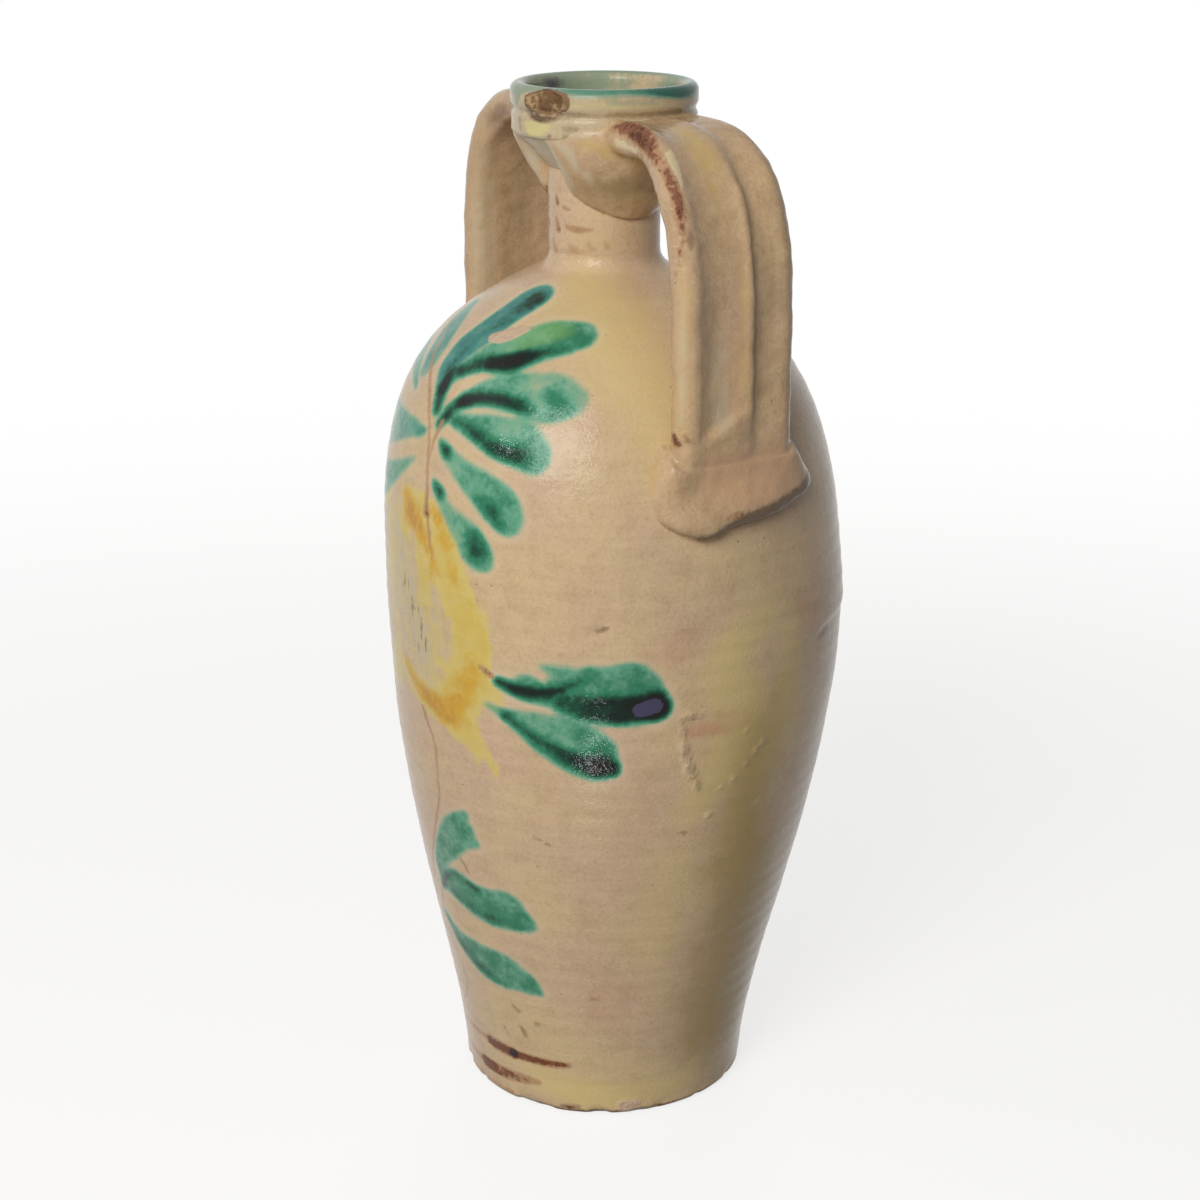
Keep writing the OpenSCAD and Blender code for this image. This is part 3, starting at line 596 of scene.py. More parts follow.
LIP_STAINS = (
    ((1, 37, 420.4, 1.2, 0.80), (14, 37, 418.7, 1.8, 1.00), (24, 37, 418.9, 1.6, 0.90),
     (31, 37, 420.2, 1.2, 0.70)),
    ((33, 37, 411.6, 1.6, 0.55), (39, 37, 411.8, 1.6, 0.55)),
    ((32, 37, 415.0, 1.4, 0.45), (40, 37, 415.2, 1.4, 0.45)),
    ((-6, 37, 416.6, 1.6, 0.50), (-5, 37, 413.4, 1.4, 0.50)),
    ((21.6, 37, 411.8, 0.9, 1.00), (22.5, 37, 411.9, 0.9, 1.00)),
    ((24, 37.2, 427.6, 1.0, 0.60), (34, 37.2, 426.6, 1.0, 0.60)),
)


# Marks on the mouth ring: the mark, its soft edge in millimetres and its strokes
LIP_STROKES = (
    ("rim", 2.8, RIM_GREEN),
    ("cup", 13.0, CUP_GREEN),
    ("violet", 6.0, RIM_VIOLET),
    ("band", 2.4, GROOVE_BAND_AND_SHADE),
    ("smudge", 2.0, LIP_STAINS),
    ("yellow", 2.4, LIP_YELLOW),
    ("chip", 2.2, CHIP),
)


def lip_marks(points):
    """Glaze colour, wear and painted shade at each point of the mouth ring."""
    marks = {mark: brushed(points, on_ring(strokes), soft) for mark, soft, strokes in LIP_STROKES}
    z = points[:, 2]
    cup = smooth((CUP_R + 2.5 - np.hypot(points[:, 0], points[:, 1])) / 2.0)
    marks["green"] = np.maximum(marks.pop("rim"), cup * marks.pop("cup"))
    # the groove's band, partly painted shade, is laid in with the smudges
    marks["smudge"] = np.maximum(marks["smudge"], 0.6 * marks.pop("band"))
    # painted shade: a warmer, slightly darker tone over the ring's underside
    marks["under"] = smooth((COLLAR_Z + 2.0 - z) / 3.0) * (1.0 - cup * (z > COLLAR_Z))
    return marks


# Broken place on the lip: its middle's angle and height, its half width and half height, and its depth
CHIP_ANGLE = 19.0
CHIP_Z = 424.6
CHIP_HALF = (8.8, 5.0)
CHIP_DEPTH = 2.0


def chip_depth(points):
    """How far the broken place on the lip reaches into the clay."""
    across = np.radians(front_angle(points) - CHIP_ANGLE) * LIP_R
    rise = points[:, 2] - CHIP_Z
    reach = (across / CHIP_HALF[0]) ** 2 + (rise / CHIP_HALF[1]) ** 2
    outside = np.hypot(points[:, 0], points[:, 1]) > CUP_R + 1.0
    return outside * CHIP_DEPTH * smooth((1.0 - reach) * 2.5)


# What the thrower's hands and years of use leave, in millimetres
SWELL = 0.9
SWELL_SIZE = 70.0
WAVER = 0.3
WAVER_SIZE = 24.0
RING_DEPTH = 0.13
RING_PITCH = 8.5
LEDGE = 0.9
LEDGE_Z = 216.0
LEDGE_SLANT = 0.35
BASE_WEAR = 1.3
BASE_WEAR_Z = 5.0
SCAR_RISE = 0.30
BUMP_RISE = 0.7
NICK_DEPTH = 0.8
CHIP_ROUGH = 0.7
NECK_CALM = 0.45


def hand_thrown(points):
    """Points of the body moved as a thrower's hands and years of use leave them."""
    r = np.hypot(points[:, 0], points[:, 1])
    z = points[:, 2]
    angle = front_angle(points)
    swell = SWELL * ripple(points, SWELL_SIZE, 1) + WAVER * ripple(points, WAVER_SIZE, 2)
    beat = 0.5 + 0.5 * ripple(points * (0.15, 0.15, 1.0), 45.0, 3)
    rings = RING_DEPTH * beat * np.sin(math.tau * z / RING_PITCH + 2.0 * ripple(points, 60.0, 4))
    ledge_z = LEDGE_Z - LEDGE_SLANT * np.maximum(120.0 - angle, 0.0)
    ledge = LEDGE * smooth((z - ledge_z) / 4.0) * smooth((ledge_z + 45.0 - z) / 40.0)
    ledge *= smooth((angle - 95.0) / 30.0) * smooth((175.0 - angle) / 40.0)
    worn = BASE_WEAR * smooth((BASE_WEAR_Z - z) / 4.0) * smooth(2.0 * ripple(points, 9.0, 5))
    scar = SCAR_RISE * brushed(points, on_wall(SCAR_EDGE), 2.0) * (0.5 + 1.4 * ripple(points, 2.6, 7))
    scar += BUMP_RISE * brushed(points, on_wall(BUMPS), 1.6)
    scar -= NICK_DEPTH * brushed(points, on_wall(NICK), 2.6)
    chip = chip_depth(points)
    rough = CHIP_ROUGH * ripple(points, 2.2, 6) * smooth(chip / CHIP_DEPTH * 2.0)
    calm = smooth((r - THROAT_R) / 6.0) * np.where(z > NECK_Z, NECK_CALM, 1.0)
    out = calm * (swell + rings + ledge) + scar - worn - chip - rough
    share = 1.0 + out / np.maximum(r, 1.0)
    moved = points * np.stack([share, share, np.ones(len(points))], axis=1)
    return moved + lean(z)[:, None] * VIEW_RIGHT


def read_points(mesh):
    flat = np.empty(len(mesh.vertices) * 3)
    mesh.vertices.foreach_get("co", flat)
    return flat.reshape(-1, 3) / MM


def write_points(mesh, points):
    mesh.vertices.foreach_set("co", (points * MM).ravel())
    mesh.update()


def note(mesh, name, values):
    """Keep one number per point on the mesh, for a material to read."""
    layer = mesh.attributes.new(name, "FLOAT", "POINT")
    layer.data.foreach_set("value", np.asarray(values, dtype=np.float32))


# Edges that turn more than this stay crisp
SHARP_EDGE = math.radians(55.0)


def finish_piece(mesh, name, slot, material, *nodes):
    """The finished mesh as a piece of its own that stands for solids of the frame."""
    mesh.polygons.foreach_set("use_smooth", [True] * len(mesh.polygons))
    mesh.set_sharp_from_angle(angle=SHARP_EDGE)
    mesh.materials.append(material)
    piece = bpy.data.objects.new(name, mesh)
    bpy.context.scene.collection.objects.link(piece)
    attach(piece, "root")
    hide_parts(*nodes)


def srgb(hex_colour):
    """A hex colour as linear red, green, blue and alpha."""
    parts = [int(hex_colour[k:k + 2], 16) / 255.0 for k in (1, 3, 5)]
    return (*[c / 12.92 if c <= 0.04045 else ((c + 0.055) / 1.055) ** 2.4 for c in parts], 1.0)


def add(tree, kind, inputs, out=0, **settings):
    """One node with its settings; each input is a value or the socket that feeds it."""
    node = tree.nodes.new(kind)
    for key, value in settings.items():
        setattr(node, key, value)
    for key, value in inputs.items():
        if isinstance(value, bpy.types.NodeSocket):
            tree.links.new(value, node.inputs[key])
        else:
            node.inputs[key].default_value = value
    return None if out is None else node.outputs[out]


def per_mm(size):
    """Texture scale at which a feature is about this many millimetres across."""
    return 1.0 / (size * MM)


# Layers over the glaze: mark, colour, start, full, most cover, what tears it, its share and the fleck's
BODY_LAYERS = (
    ("honey", "#d0b97c", 0.05, 0.95, 0.80, "blotch", 0.40, 0.15),
    # olive brown, partly painted shade down the lower right side
    ("olive_and_shade", "#9f8440", 0.10, 1.00, 0.74, "blotch", 0.30, 0.10),
    ("blush", "#bd8467", 0.10, 1.00, 0.55, "blotch", 0.40, 0.20),
    ("halo", "#d5c3a4", 0.10, 0.70, 0.50, "blotch", 0.40, 0.20),
    ("worn", "#bcae96", 0.20, 0.90, 0.75, "streak", 0.60, 0.20),
    ("yellow", "#cdb866", 0.08, 0.58, 0.85, "streak", 1.50, 0.50),
    ("yellow", "#c9ad56", 0.50, 1.10, 0.85, "blotch", 1.40, 0.60),
    ("amber", "#c99a30", 0.20, 1.00, 0.85, "blotch", 1.30, 0.60),
    ("amber", "#b27a34", 0.84, 1.30, 0.65, "streak", 1.20, 0.60),
    ("worn", "#bdac93", 0.66, 1.02, 0.84, "streak", 2.20, 0.80),
    ("worn", "#75603f", 1.10, 1.24, 0.75, "scratch", 1.80, 0.30),
    ("green", "#609f82", 0.00, 0.42, 0.96, "blotch", 0.20, 0.10),
    ("green", "#2f7a5a", 0.30, 0.68, 1.00, "blotch", 0.60, 0.44),
    ("blue", "#3b7c82", 0.15, 0.60, 0.50, "blotch", 0.30, 0.10),
    ("lime", "#78a653", 0.20, 1.10, 0.60, "blotch", 0.30, 0.20),
    ("green", "#124632", 0.66, 1.04, 1.00, "blotch", 0.54, 0.50),
    ("green", "#081f17", 0.96, 1.30, 1.00, "blotch", 0.40, 0.30),
    ("green", "#15110d", 1.28, 1.62, 0.95, "blotch", 0.40, 0.40),
    ("violet", "#45405a", 0.40, 0.80, 0.92, "blotch", 0.20, 0.20),
    ("brown", "#a8805e", 0.10, 0.50, 0.80, "blotch", 0.20, 0.30),
    ("brown", "#6c3615", 0.56, 0.92, 0.95, "blotch", 0.50, 0.80),
    ("brown", "#241711", 1.10, 1.40, 1.00, "blotch", 0.10, 0.20),
    ("smudge", "#8d6e50", 0.15, 0.70, 0.75, "blotch", 0.40, 0.60),
    ("smudge", "#5a3d24", 0.70, 1.00, 0.85, "blotch", 0.40, 1.20),
    ("scar", "#ad987b", 0.30, 0.90, 0.55, "blotch", 0.40, 0.60),
    ("scuff", "#c6aa90", 0.35, 0.65, 0.90, "blotch", 0.40, 0.60),
)
LIP_LAYERS = (
    # painted shade tone over the ring's underside
    ("under", "#bca988", 0.20, 0.90, 0.85, "blotch", 1.20, 0.50),
    ("yellow", "#cfc184", 0.15, 0.95, 0.85, "blotch", 1.40, 1.20),
    ("smudge", "#937a5c", 0.15, 0.60, 0.75, "blotch", 0.40, 0.40),
    ("smudge", "#573c26", 0.65, 1.00, 0.85, "blotch", 0.40, 0.80),
    ("green", "#879781", 0.05, 0.30, 0.88, "blotch", 0.30, 0.20),
    ("green", "#558a71", 0.36, 0.64, 0.95, "blotch", 0.24, 0.20),
    ("green", "#27604f", 0.58, 0.95, 1.00, "blotch", 0.30, 0.24),
    ("violet", "#4d4756", 0.25, 1.00, 0.85, "blotch", 0.40, 0.30),
    ("chip", "#84654a", 0.36, 0.62, 1.00, "blotch", 0.90, 0.90),
    ("chip", "#b69b6e", 0.90, 1.10, 0.80, "fleck", 1.20, 0.00),
    ("chip", "#5d4029", 1.05, 1.25, 0.85, "blotch", 1.40, 0.60),
)
HANDLE_LAYERS = (
    ("honey", "#c9ab6c", 0.05, 0.95, 0.75, "blotch", 1.10, 0.50),
    ("blush", "#cda27e", 0.05, 0.95, 0.70, "blotch", 0.40, 0.15),
    ("smudge", "#8c6e52", 0.15, 0.80, 0.75, "blotch", 0.50, 0.50),
    ("shade", "#67503b", 0.10, 0.90, 0.85, "blotch", 0.60, 0.80),
    # greyer brown: painted shade on the lug under the strap, down the strap's right flute and the far
    # handle, with some greyer glaze on the lug
    ("grey_glaze_and_shade", "#8f7b59", 0.05, 0.95, 0.90, "blotch", 0.40, 0.20),
    # pale cream glaze, and in places painted light: a lighter bead and lower channel, and a painted
    # highlight on the foot's left edge
    ("cream_and_painted_light", "#c2b497", 0.10, 0.90, 0.90, "blotch", 0.80, 0.40),
    ("pale", "#d6c29a", 0.30, 0.60, 0.85, "fleck", 1.10, 0.60),
    ("rust", "#a67f5c", 0.25, 0.60, 0.85, "blotch", 0.50, 0.80),
    ("rust", "#7c4e3b", 0.66, 0.92, 0.90, "fleck", 1.30, 0.30),
    ("rust", "#46291e", 1.08, 1.24, 0.75, "blotch", 1.00, 1.20),
)


# Working lines drawn out round the body and along the handles, and the glaze's ripple in millimetres
ROUND_LINES = (0.1, 0.1, 1.0)
PULLED_LINES = (1.0, 1.0, 0.08)
GLAZE_RIPPLE = 0.13


def glazed_earthenware(name, pale, warm, stain, drawn, dullness, layers):
    """Clay under a thin clear lead glaze: buff, softly glossy, with working lines, pinholes and ripple."""
    material = bpy.data.materials.new(name)
    material.use_nodes = True
    tree = material.node_tree
    tree.nodes.clear()
    place = add(tree, "ShaderNodeTexCoord", {}, out="Object")
    along = add(tree, "ShaderNodeMapping", {"Vector": place, "Scale": drawn})
    upright = add(tree, "ShaderNodeMapping", {"Vector": place, "Scale": (1.0, 1.0, 0.25)})
    hair = add(tree, "ShaderNodeMapping", {"Vector": place, "Scale": (1.0, 1.0, 0.12)})
    cloud = add(tree, "ShaderNodeTexNoise", {"Vector": place, "Scale": per_mm(48.0), "Detail": 3.0})
    lines = add(tree, "ShaderNodeTexNoise", {"Vector": along, "Scale": per_mm(2.6), "Detail": 3.0})
    # the finest grain is under half a millimetre, and is drawn three times as coarse so that it shows
    grain = add(tree, "ShaderNodeTexNoise", {"Vector": place, "Scale": per_mm(1.2), "Detail": 2.0})
    pits = add(tree, "ShaderNodeTexVoronoi", {"Vector": place, "Scale": per_mm(10.0)})
    patterns = {
        "blotch": add(tree, "ShaderNodeTexNoise", {"Vector": place, "Scale": per_mm(9.0), "Detail": 4.0}),
        "fleck": add(tree, "ShaderNodeTexNoise", {"Vector": place, "Scale": per_mm(2.2), "Detail": 3.0}),
        "streak": add(tree, "ShaderNodeTexNoise", {"Vector": upright, "Scale": per_mm(3.4), "Detail": 4.0}),
        "scratch": add(tree, "ShaderNodeTexNoise", {"Vector": hair, "Scale": per_mm(1.8), "Detail": 3.0}),
    }
    tone = add(tree, "ShaderNodeMapRange", {0: cloud, 1: 0.35, 2: 0.65}, interpolation_type="SMOOTHSTEP")
    colour = add(tree, "ShaderNodeMix", {0: tone, 6: srgb(pale), 7: srgb(warm)}, out=2, data_type="RGBA")
    for pattern, low, high, hue, most in (
            (patterns["blotch"], 0.45, 0.75, stain, 0.36), (lines, 0.45, 0.75, stain, 0.18),
            (patterns["fleck"], 0.52, 0.75, stain, 0.26), (grain, 0.50, 0.25, "#d9c3a4", 0.22),
            (grain, 0.58, 0.80, "#8f7355", 0.30), (pits, 0.05, 0.02, "#6a4d37", 0.70)):
        cover = add(tree, "ShaderNodeMapRange", {0: pattern, 1: low, 2: high, 4: most})
        colour = add(tree, "ShaderNodeMix", {0: cover, 6: colour, 7: srgb(hue)}, out=2, data_type="RGBA")
    for mark, hue, low, high, most, tear, ragged, fine in layers:
        amount = add(tree, "ShaderNodeAttribute", {}, out="Fac", attribute_name=mark)
        torn = add(tree, "ShaderNodeMath", {0: patterns[tear], 1: ragged, 2: amount},
                   operation="MULTIPLY_ADD")
        torn = add(tree, "ShaderNodeMath", {0: patterns["fleck"], 1: fine, 2: torn},
                   operation="MULTIPLY_ADD")
        middle = 0.5 * (ragged + fine)
        cover = add(tree, "ShaderNodeMapRange", {0: torn, 1: low + middle, 2: high + middle, 4: most},
                    interpolation_type="SMOOTHSTEP")
        near = add(tree, "ShaderNodeMapRange", {0: amount, 1: 0.01, 2: 0.08})
        share = add(tree, "ShaderNodeMath", {0: cover, 1: near}, operation="MULTIPLY")
        colour = add(tree, "ShaderNodeMix", {0: share, 6: colour, 7: srgb(hue)}, out=2, data_type="RGBA")
    pooled = add(tree, "ShaderNodeAttribute", {}, out="Fac", attribute_name="green")
    sheen = add(tree, "ShaderNodeMapRange", {0: pooled, 1: 0.2, 2: 0.7, 3: dullness, 4: 0.10})
    bare = 0.0
    for mark in ("scuff", "scar", "chip", "rust"):
        amount = add(tree, "ShaderNodeAttribute", {}, out="Fac", attribute_name=mark)
        bare = add(tree, "ShaderNodeMath", {0: bare, 1: amount}, operation="MAXIMUM")
    rough = add(tree, "ShaderNodeMapRange", {0: bare, 1: 0.3, 2: 0.8, 3: sheen, 4: 0.75})
    height = grain
    for pattern, share in ((lines, 0.6), (patterns["fleck"], 0.8), (patterns["blotch"], 1.2)):
        height = add(tree, "ShaderNodeMath", {0: pattern, 1: share, 2: height}, operation="MULTIPLY_ADD")
    hole = add(tree, "ShaderNodeMapRange", {0: pits, 1: 0.06, 2: 0.0, 4: -1.5})
    height = add(tree, "ShaderNodeMath", {0: height, 1: hole}, operation="ADD")
    crumb = add(tree, "ShaderNodeMath", {0: patterns["fleck"], 1: bare}, operation="MULTIPLY")
    height = add(tree, "ShaderNodeMath", {0: crumb, 1: 8.0, 2: height}, operation="MULTIPLY_ADD")
    bumps = add(tree, "ShaderNodeBump", {"Height": height, "Strength": 1.0, "Distance": GLAZE_RIPPLE * MM})
    skin = add(tree, "ShaderNodeBsdfPrincipled", {"Base Color": colour, "Roughness": rough, "IOR": 1.5,
                                                  "Specular IOR Level": 0.18, "Normal": bumps})
    add(tree, "ShaderNodeOutputMaterial", {"Surface": skin}, out=None)
    return material


body_glaze = glazed_earthenware("glazed earthenware, thrown and brush painted",
                                "#c6a98b", "#cab087", "#a88b69", ROUND_LINES, 0.20, BODY_LAYERS)
lip_glaze = glazed_earthenware("glazed earthenware, green dipped lip",
                               "#c0ae8d", "#bca884", "#9c8765", ROUND_LINES, 0.17, LIP_LAYERS)
handle_glaze = glazed_earthenware("glazed earthenware, pulled strap",
                                  "#c0a180", "#c3a47c", "#977750", PULLED_LINES, 0.15, HANDLE_LAYERS)

# The four thrown sections
for name, outline, slot, material, marks, node in (
        ("jug_belly", belly_outline(), "glazed_body", body_glaze, body_marks, "belly"),
        ("jug_shoulder", shoulder_outline(), "glazed_body", body_glaze, body_marks, "shoulder"),
        ("jug_neck", neck_outline(), "glazed_body", body_glaze, body_marks, "neck"),
        ("jug_mouth_ring", mouth_outline(), "glazed_lip", lip_glaze, lip_marks, "mouth_ring")):
    clay = turned_section(outline)
    mesh = bpy.data.meshes.new(name)
    clay.to_mesh(mesh)
    clay.free()
    still = read_points(mesh)
    for mark, values in marks(still).items():
        note(mesh, mark, values)
    write_points(mesh, hand_thrown(still))
    finish_piece(mesh, name, slot, material, node)


def tube(sides, cuts):
    """A capped tube of unit radius and length, with rings along it."""
    clay = bmesh.new()
    bmesh.ops.create_cone(clay, cap_ends=True, segments=sides, radius1=1.0, radius2=1.0, depth=1.0)
    uprights = [e for e in clay.edges if abs(e.verts[0].co.z - e.verts[1].co.z) > 0.5]
    bmesh.ops.subdivide_edges(clay, edges=uprights, cuts=cuts, use_grid_fill=True)
    return clay


def shape_tube(clay, form):
    """Move each point of a tube to where the form puts its share of the turn and of the length."""
    for vert in clay.verts:
        turn = math.atan2(vert.co.y, vert.co.x) / math.tau % 1.0
        vert.co = Vector(form(turn, vert.co.z + 0.5)) * MM
    bmesh.ops.recalc_face_normals(clay, faces=clay.faces)
    return clay


# Flutes between beads and ridge: start, end, and how far the deepest line leans to the start
FLUTES = ((BEAD_W - STRAP_W / 2, RIDGE_Y, 0.8), (RIDGE_Y, STRAP_W / 2 - BEAD_W, 0.5))
FLUTE_BEND_Z = 398.0
FLUTE_BEND_LOSS = 0.45
FLUTE_STEP_Y = -23.0
FLUTE_STEP_Z = 301.0
FLUTE_STEP_SLANT = 0.55
FLUTE_END_Z = 290.0
RIDGE_H = 0.9
RIDGE_HALF = 1.9
RIDGE_WANDER = 0.7
RIDGE_END_Z = 306.0


def flute_fall(y):
    """How far the fluted face falls below the beads and the ridge."""
    for start, end, skew in FLUTES:
        if start < y < end:
            return FLUTE_DEPTH * math.sin(math.pi * ((y - start) / (end - start)) ** skew)
    return 0.0


def flute_share(y, z):
    """What is left of a flute's depth over the bend and near the foot; the left one ends in a slant."""
    high = 1.0 - FLUTE_BEND_LOSS * float(smooth((z - FLUTE_BEND_Z) / 10.0))
    if y < RIDGE_Y:
        return high * float(smooth((z - FLUTE_STEP_Z - FLUTE_STEP_SLANT * (y - FLUTE_STEP_Y)) / 3.0))
    return high * float(smooth((z - FLUTE_END_Z) / 30.0))


def ridge_rise(y, z):
    """A crisp ridge left between the two flutes, from below the bend down to the foot."""
    gap = (y - RIDGE_Y - RIDGE_WANDER * math.sin(z / 15.0)) / RIDGE_HALF
    ends = float(smooth((FLUTE_BEND_Z - z) / 3.0) * smooth((z - RIDGE_END_Z) / 10.0))
    return RIDGE_H * math.exp(-gap * gap) * ends


def strap_section(turn):
    """Width and height of a point round the strap's section."""
    flat = STRAP_W - STRAP_T
    bend = math.pi * STRAP_T / 2
    run = turn * 2 * (flat + bend)
    if run < flat:
        return flat / 2 - run, STRAP_T / 2
    if run < flat + bend:
        a = math.pi / 2 + (run - flat) / (STRAP_T / 2)
        return -flat / 2 + STRAP_T / 2 * math.cos(a), STRAP_T / 2 * math.sin(a)
    if run < 2 * flat + bend:
        return -flat / 2 + run - flat - bend, -STRAP_T / 2
    a = -math.pi / 2 + (run - 2 * flat - bend) / (STRAP_T / 2)
    return flat / 2 + STRAP_T / 2 * math.cos(a), STRAP_T / 2 * math.sin(a)


# Where the strap takes root and hugs the neck, its lower end, and how far apart its rows are
ROOT_R = 33.5
HUG_Y = 26.0
HUG_RUN = 24.0
HUG_Z = 400.0
TUCK_Z = 300.0
TUCK = 2.5
STRAP_LOW_Z = 286.0
STRAP_ROW = 0.5
bend_line = bezier([(BEND_X, STRAP_Z), (BEND_X + BEND_LEVEL, STRAP_Z),
                    (STRAP_MID, STRAP_Z - BEND_H + BEND_UPRIGHT), (STRAP_MID, STRAP_Z - BEND_H)], 60)
strap_line = evenly([(ROOT_R, STRAP_Z), *bend_line, (STRAP_MID, TUCK_Z), (STRAP_MID - TUCK, STRAP_LOW_Z)],
                    STRAP_ROW)
strap_way = np.gradient(strap_line, axis=0)
strap_way /= np.hypot(strap_way[:, 0], strap_way[:, 1])[:, None]
strap_end = len(strap_line) - 1


def strap_form(turn, along):
    """Place of a point of the strap, by its share of the turn round it and of its length."""
    k = along * strap_end
    x, z = [float(np.interp(k, np.arange(strap_end + 1), strap_line[:, j])) for j in (0, 1)]
    wx, wz = strap_way[int(round(k))]
    y, h = strap_section(turn)
    if h > 0.0:
        h -= flute_fall(y) * flute_share(y, z) * min(1.0, 2.0 * h / STRAP_T) - ridge_rise(y, z)
    narrow = STRAP_ROOT_W / STRAP_W
    y *= narrow + (1.0 - narrow) * float(smooth((along - 0.05) / 0.3))
    curl = ROOT_R - math.sqrt(ROOT_R ** 2 - min(abs(y), HUG_Y) ** 2)
    hug = curl * float(smooth(1.0 - (x - ROOT_R) / HUG_RUN))
    return x - wz * h - hug * (z > HUG_Z), y, z + wx * h


# The foot's outline: left and right edges as height and width, lower edge as share across and height
PAD_LEFT = ((266, -25.0), (271, -30.0), (276, -33.0), (283, -34.5), (291, -33.5), (297, -31.0), (302, -28.0),
            (306, -26.2), (312, -26.0))
PAD_RIGHT = ((268, 36.0), (276, 41.0), (280, 43.5), (284, 42.5), (290, 37.0), (296, 31.0), (301, 27.0),
             (312, 26.0))
PAD_LOW = ((-1.0, 276), (-0.9, 270.5), (-0.72, 266.5), (-0.5, 267), (-0.3, 269.6), (0.0, 270.6), (0.45, 272),
           (0.75, 275), (0.92, 278), (1.0, 282))

# How the foot is pressed on: flat share, step below the strap, least thickness, blend and depth
PAD_FLAT = 0.75
PAD_STEP = 0.4
PAD_LEAST_T = 0.4
PAD_SQUARE = 9
PAD_BLEND = 0.7
PAD_SUNK = 4.0


def pad_form(turn, along):
    """Place of a point of the foot, by its share of the turn round it and of the way down."""
    outer = turn < 0.5
    u = 1.0 - 4.0 * turn if outer else 4.0 * turn - 3.0
    edge = STRAP_T / 2 * max(0.0, 1.0 - max(0.0, abs(u) - PAD_FLAT) ** 2 / (1.0 - PAD_FLAT) ** 2) ** 0.5
    face = STRAP_MID - PAD_STEP + edge if outer else STRAP_MID - edge
    top = SCARF_Z - (face - STRAP_MID + STRAP_T / 2)
    low = float(np.interp(u, *zip(*PAD_LOW)))
    z = top + (low - top) * along
    left = float(np.interp(z, *zip(*PAD_LEFT)))
    right = float(np.interp(z, *zip(*PAD_RIGHT)))
    y = left + (u + 1.0) / 2 * (right - left)
    t = PAD_T * max(0.0, 1.0 - max(abs(u), along) ** PAD_SQUARE) ** 0.5 + PAD_LEAST_T
    r = float(body_r(z))
    if outer:
        skin = math.sqrt(max(1.0, (r + t) ** 2 - y * y))
        return face + (skin - face) * float(smooth(along / PAD_BLEND)), y, z
    under = math.sqrt(max(1.0, (r - PAD_SUNK) ** 2 - y * y))
    return min(face, under) if along < 0.01 else under, y, z


# How a lug is pressed on: its edges, how far it stands out, its swell under the strap and its depth
LUG_TOP_Z = 417.0
LUG_FULL_Z = 411.0
LUG_RISE = 13.0
LUG_END_RISE = 16.0
LUG_TOP_FALL = 5.0
LUG_PROUD = 0.8
LUG_END_THIN = 1.8
LUG_EDGE_T = 1.4
LUG_TOP_ROUND = 1.6
LUG_SWELL = 7.0
LUG_SWELL_TURN = math.radians(30.0)
LUG_SHOWN = 0.8
LUG_SUNK = 2.4


def seat_r(z):
    """Radius of the neck and the mouth ring's underside, which a lug is pressed on."""
    radii = (NECK_R, COLLAR_R - COLLAR_ROUND, COLLAR_R - GROOVE_DEPTH)
    return float(np.interp(z, (MOUTH_Z, COLLAR_Z, LUG_TOP_Z), radii))


def lug_form(turn, along):
    """Place of a point of the lug, by its share of the turn round it and of the way round the neck."""
    outer = turn < 0.5
    a = LUG_REACH * (2.0 * along - 1.0)
    share = abs(2.0 * along - 1.0)
    low = LUG_TIP_Z + LUG_RISE * share ** 1.7 + LUG_END_RISE * float(smooth((share - 0.82) / 0.18))
    top = LUG_TOP_Z - LUG_TOP_FALL * float(smooth((share - 0.45) / 0.55))
    s = turn * 2.0 if outer else 2.0 - turn * 2.0
    z = low + (top - low) * s
    seat = seat_r(z)
    if outer:
        full = COLLAR_R + LUG_PROUD - LUG_END_THIN * float(smooth((share - 0.55) / 0.45))
        lift = min(1.0, (z - low) / max(LUG_FULL_Z - low, 1.0))
        r = NECK_R + LUG_EDGE_T + (full - NECK_R - LUG_EDGE_T) * math.sin(math.pi / 2 * lift) ** 0.95
        r -= LUG_TOP_ROUND * max(0.0, (z - LUG_FULL_Z) / (LUG_TOP_Z - LUG_FULL_Z)) ** 2
        r += LUG_SWELL * math.exp(-(a / LUG_SWELL_TURN) ** 2) * s ** 3
        r = max(r, seat - LUG_SHOWN)
    else:
        r = seat - LUG_SUNK
    return r * math.cos(a), r * math.sin(a), z


def joined_clay(parts, voxel):
    """The parts pressed into one lump: their union at a fine grain."""
    mesh = bpy.data.meshes.new("lump")
    whole = bmesh.new()
    for part in parts:
        part.to_mesh(mesh)
        whole.from_mesh(mesh)
        part.free()
    whole.to_mesh(mesh)
    whole.free()
    lump = bpy.data.objects.new("lump", mesh)
    bpy.context.scene.collection.objects.link(lump)
    remesh = lump.modifiers.new("grain", "REMESH")
    remesh.mode = "VOXEL"
    remesh.voxel_size = voxel
    view = bpy.context.evaluated_depsgraph_get()
    fine = bpy.data.meshes.new_from_object(lump.evaluated_get(view))
    bpy.data.objects.remove(lump)
    bpy.data.meshes.remove(mesh)
    clay = bmesh.new()
    clay.from_mesh(fine)
    bpy.data.meshes.remove(fine)
    return clay


def close_cut(clay):
    """Fill the openings that a cut left."""
    rim = [e for e in clay.edges if e.is_boundary]
    bmesh.ops.holes_fill(clay, edges=rim, sides=0)
    bmesh.ops.recalc_face_normals(clay, faces=clay.faces)


def kept_side(clay, spot, way):
    """A copy of the clay on the side of a cut that the way points to."""
    part = clay.copy()
    bmesh.ops.bisect_plane(part, geom=[*part.verts, *part.edges, *part.faces], dist=SAME_PLANE * MM,
                           plane_co=Vector(spot) * MM, plane_no=way, clear_inner=True)
    return part


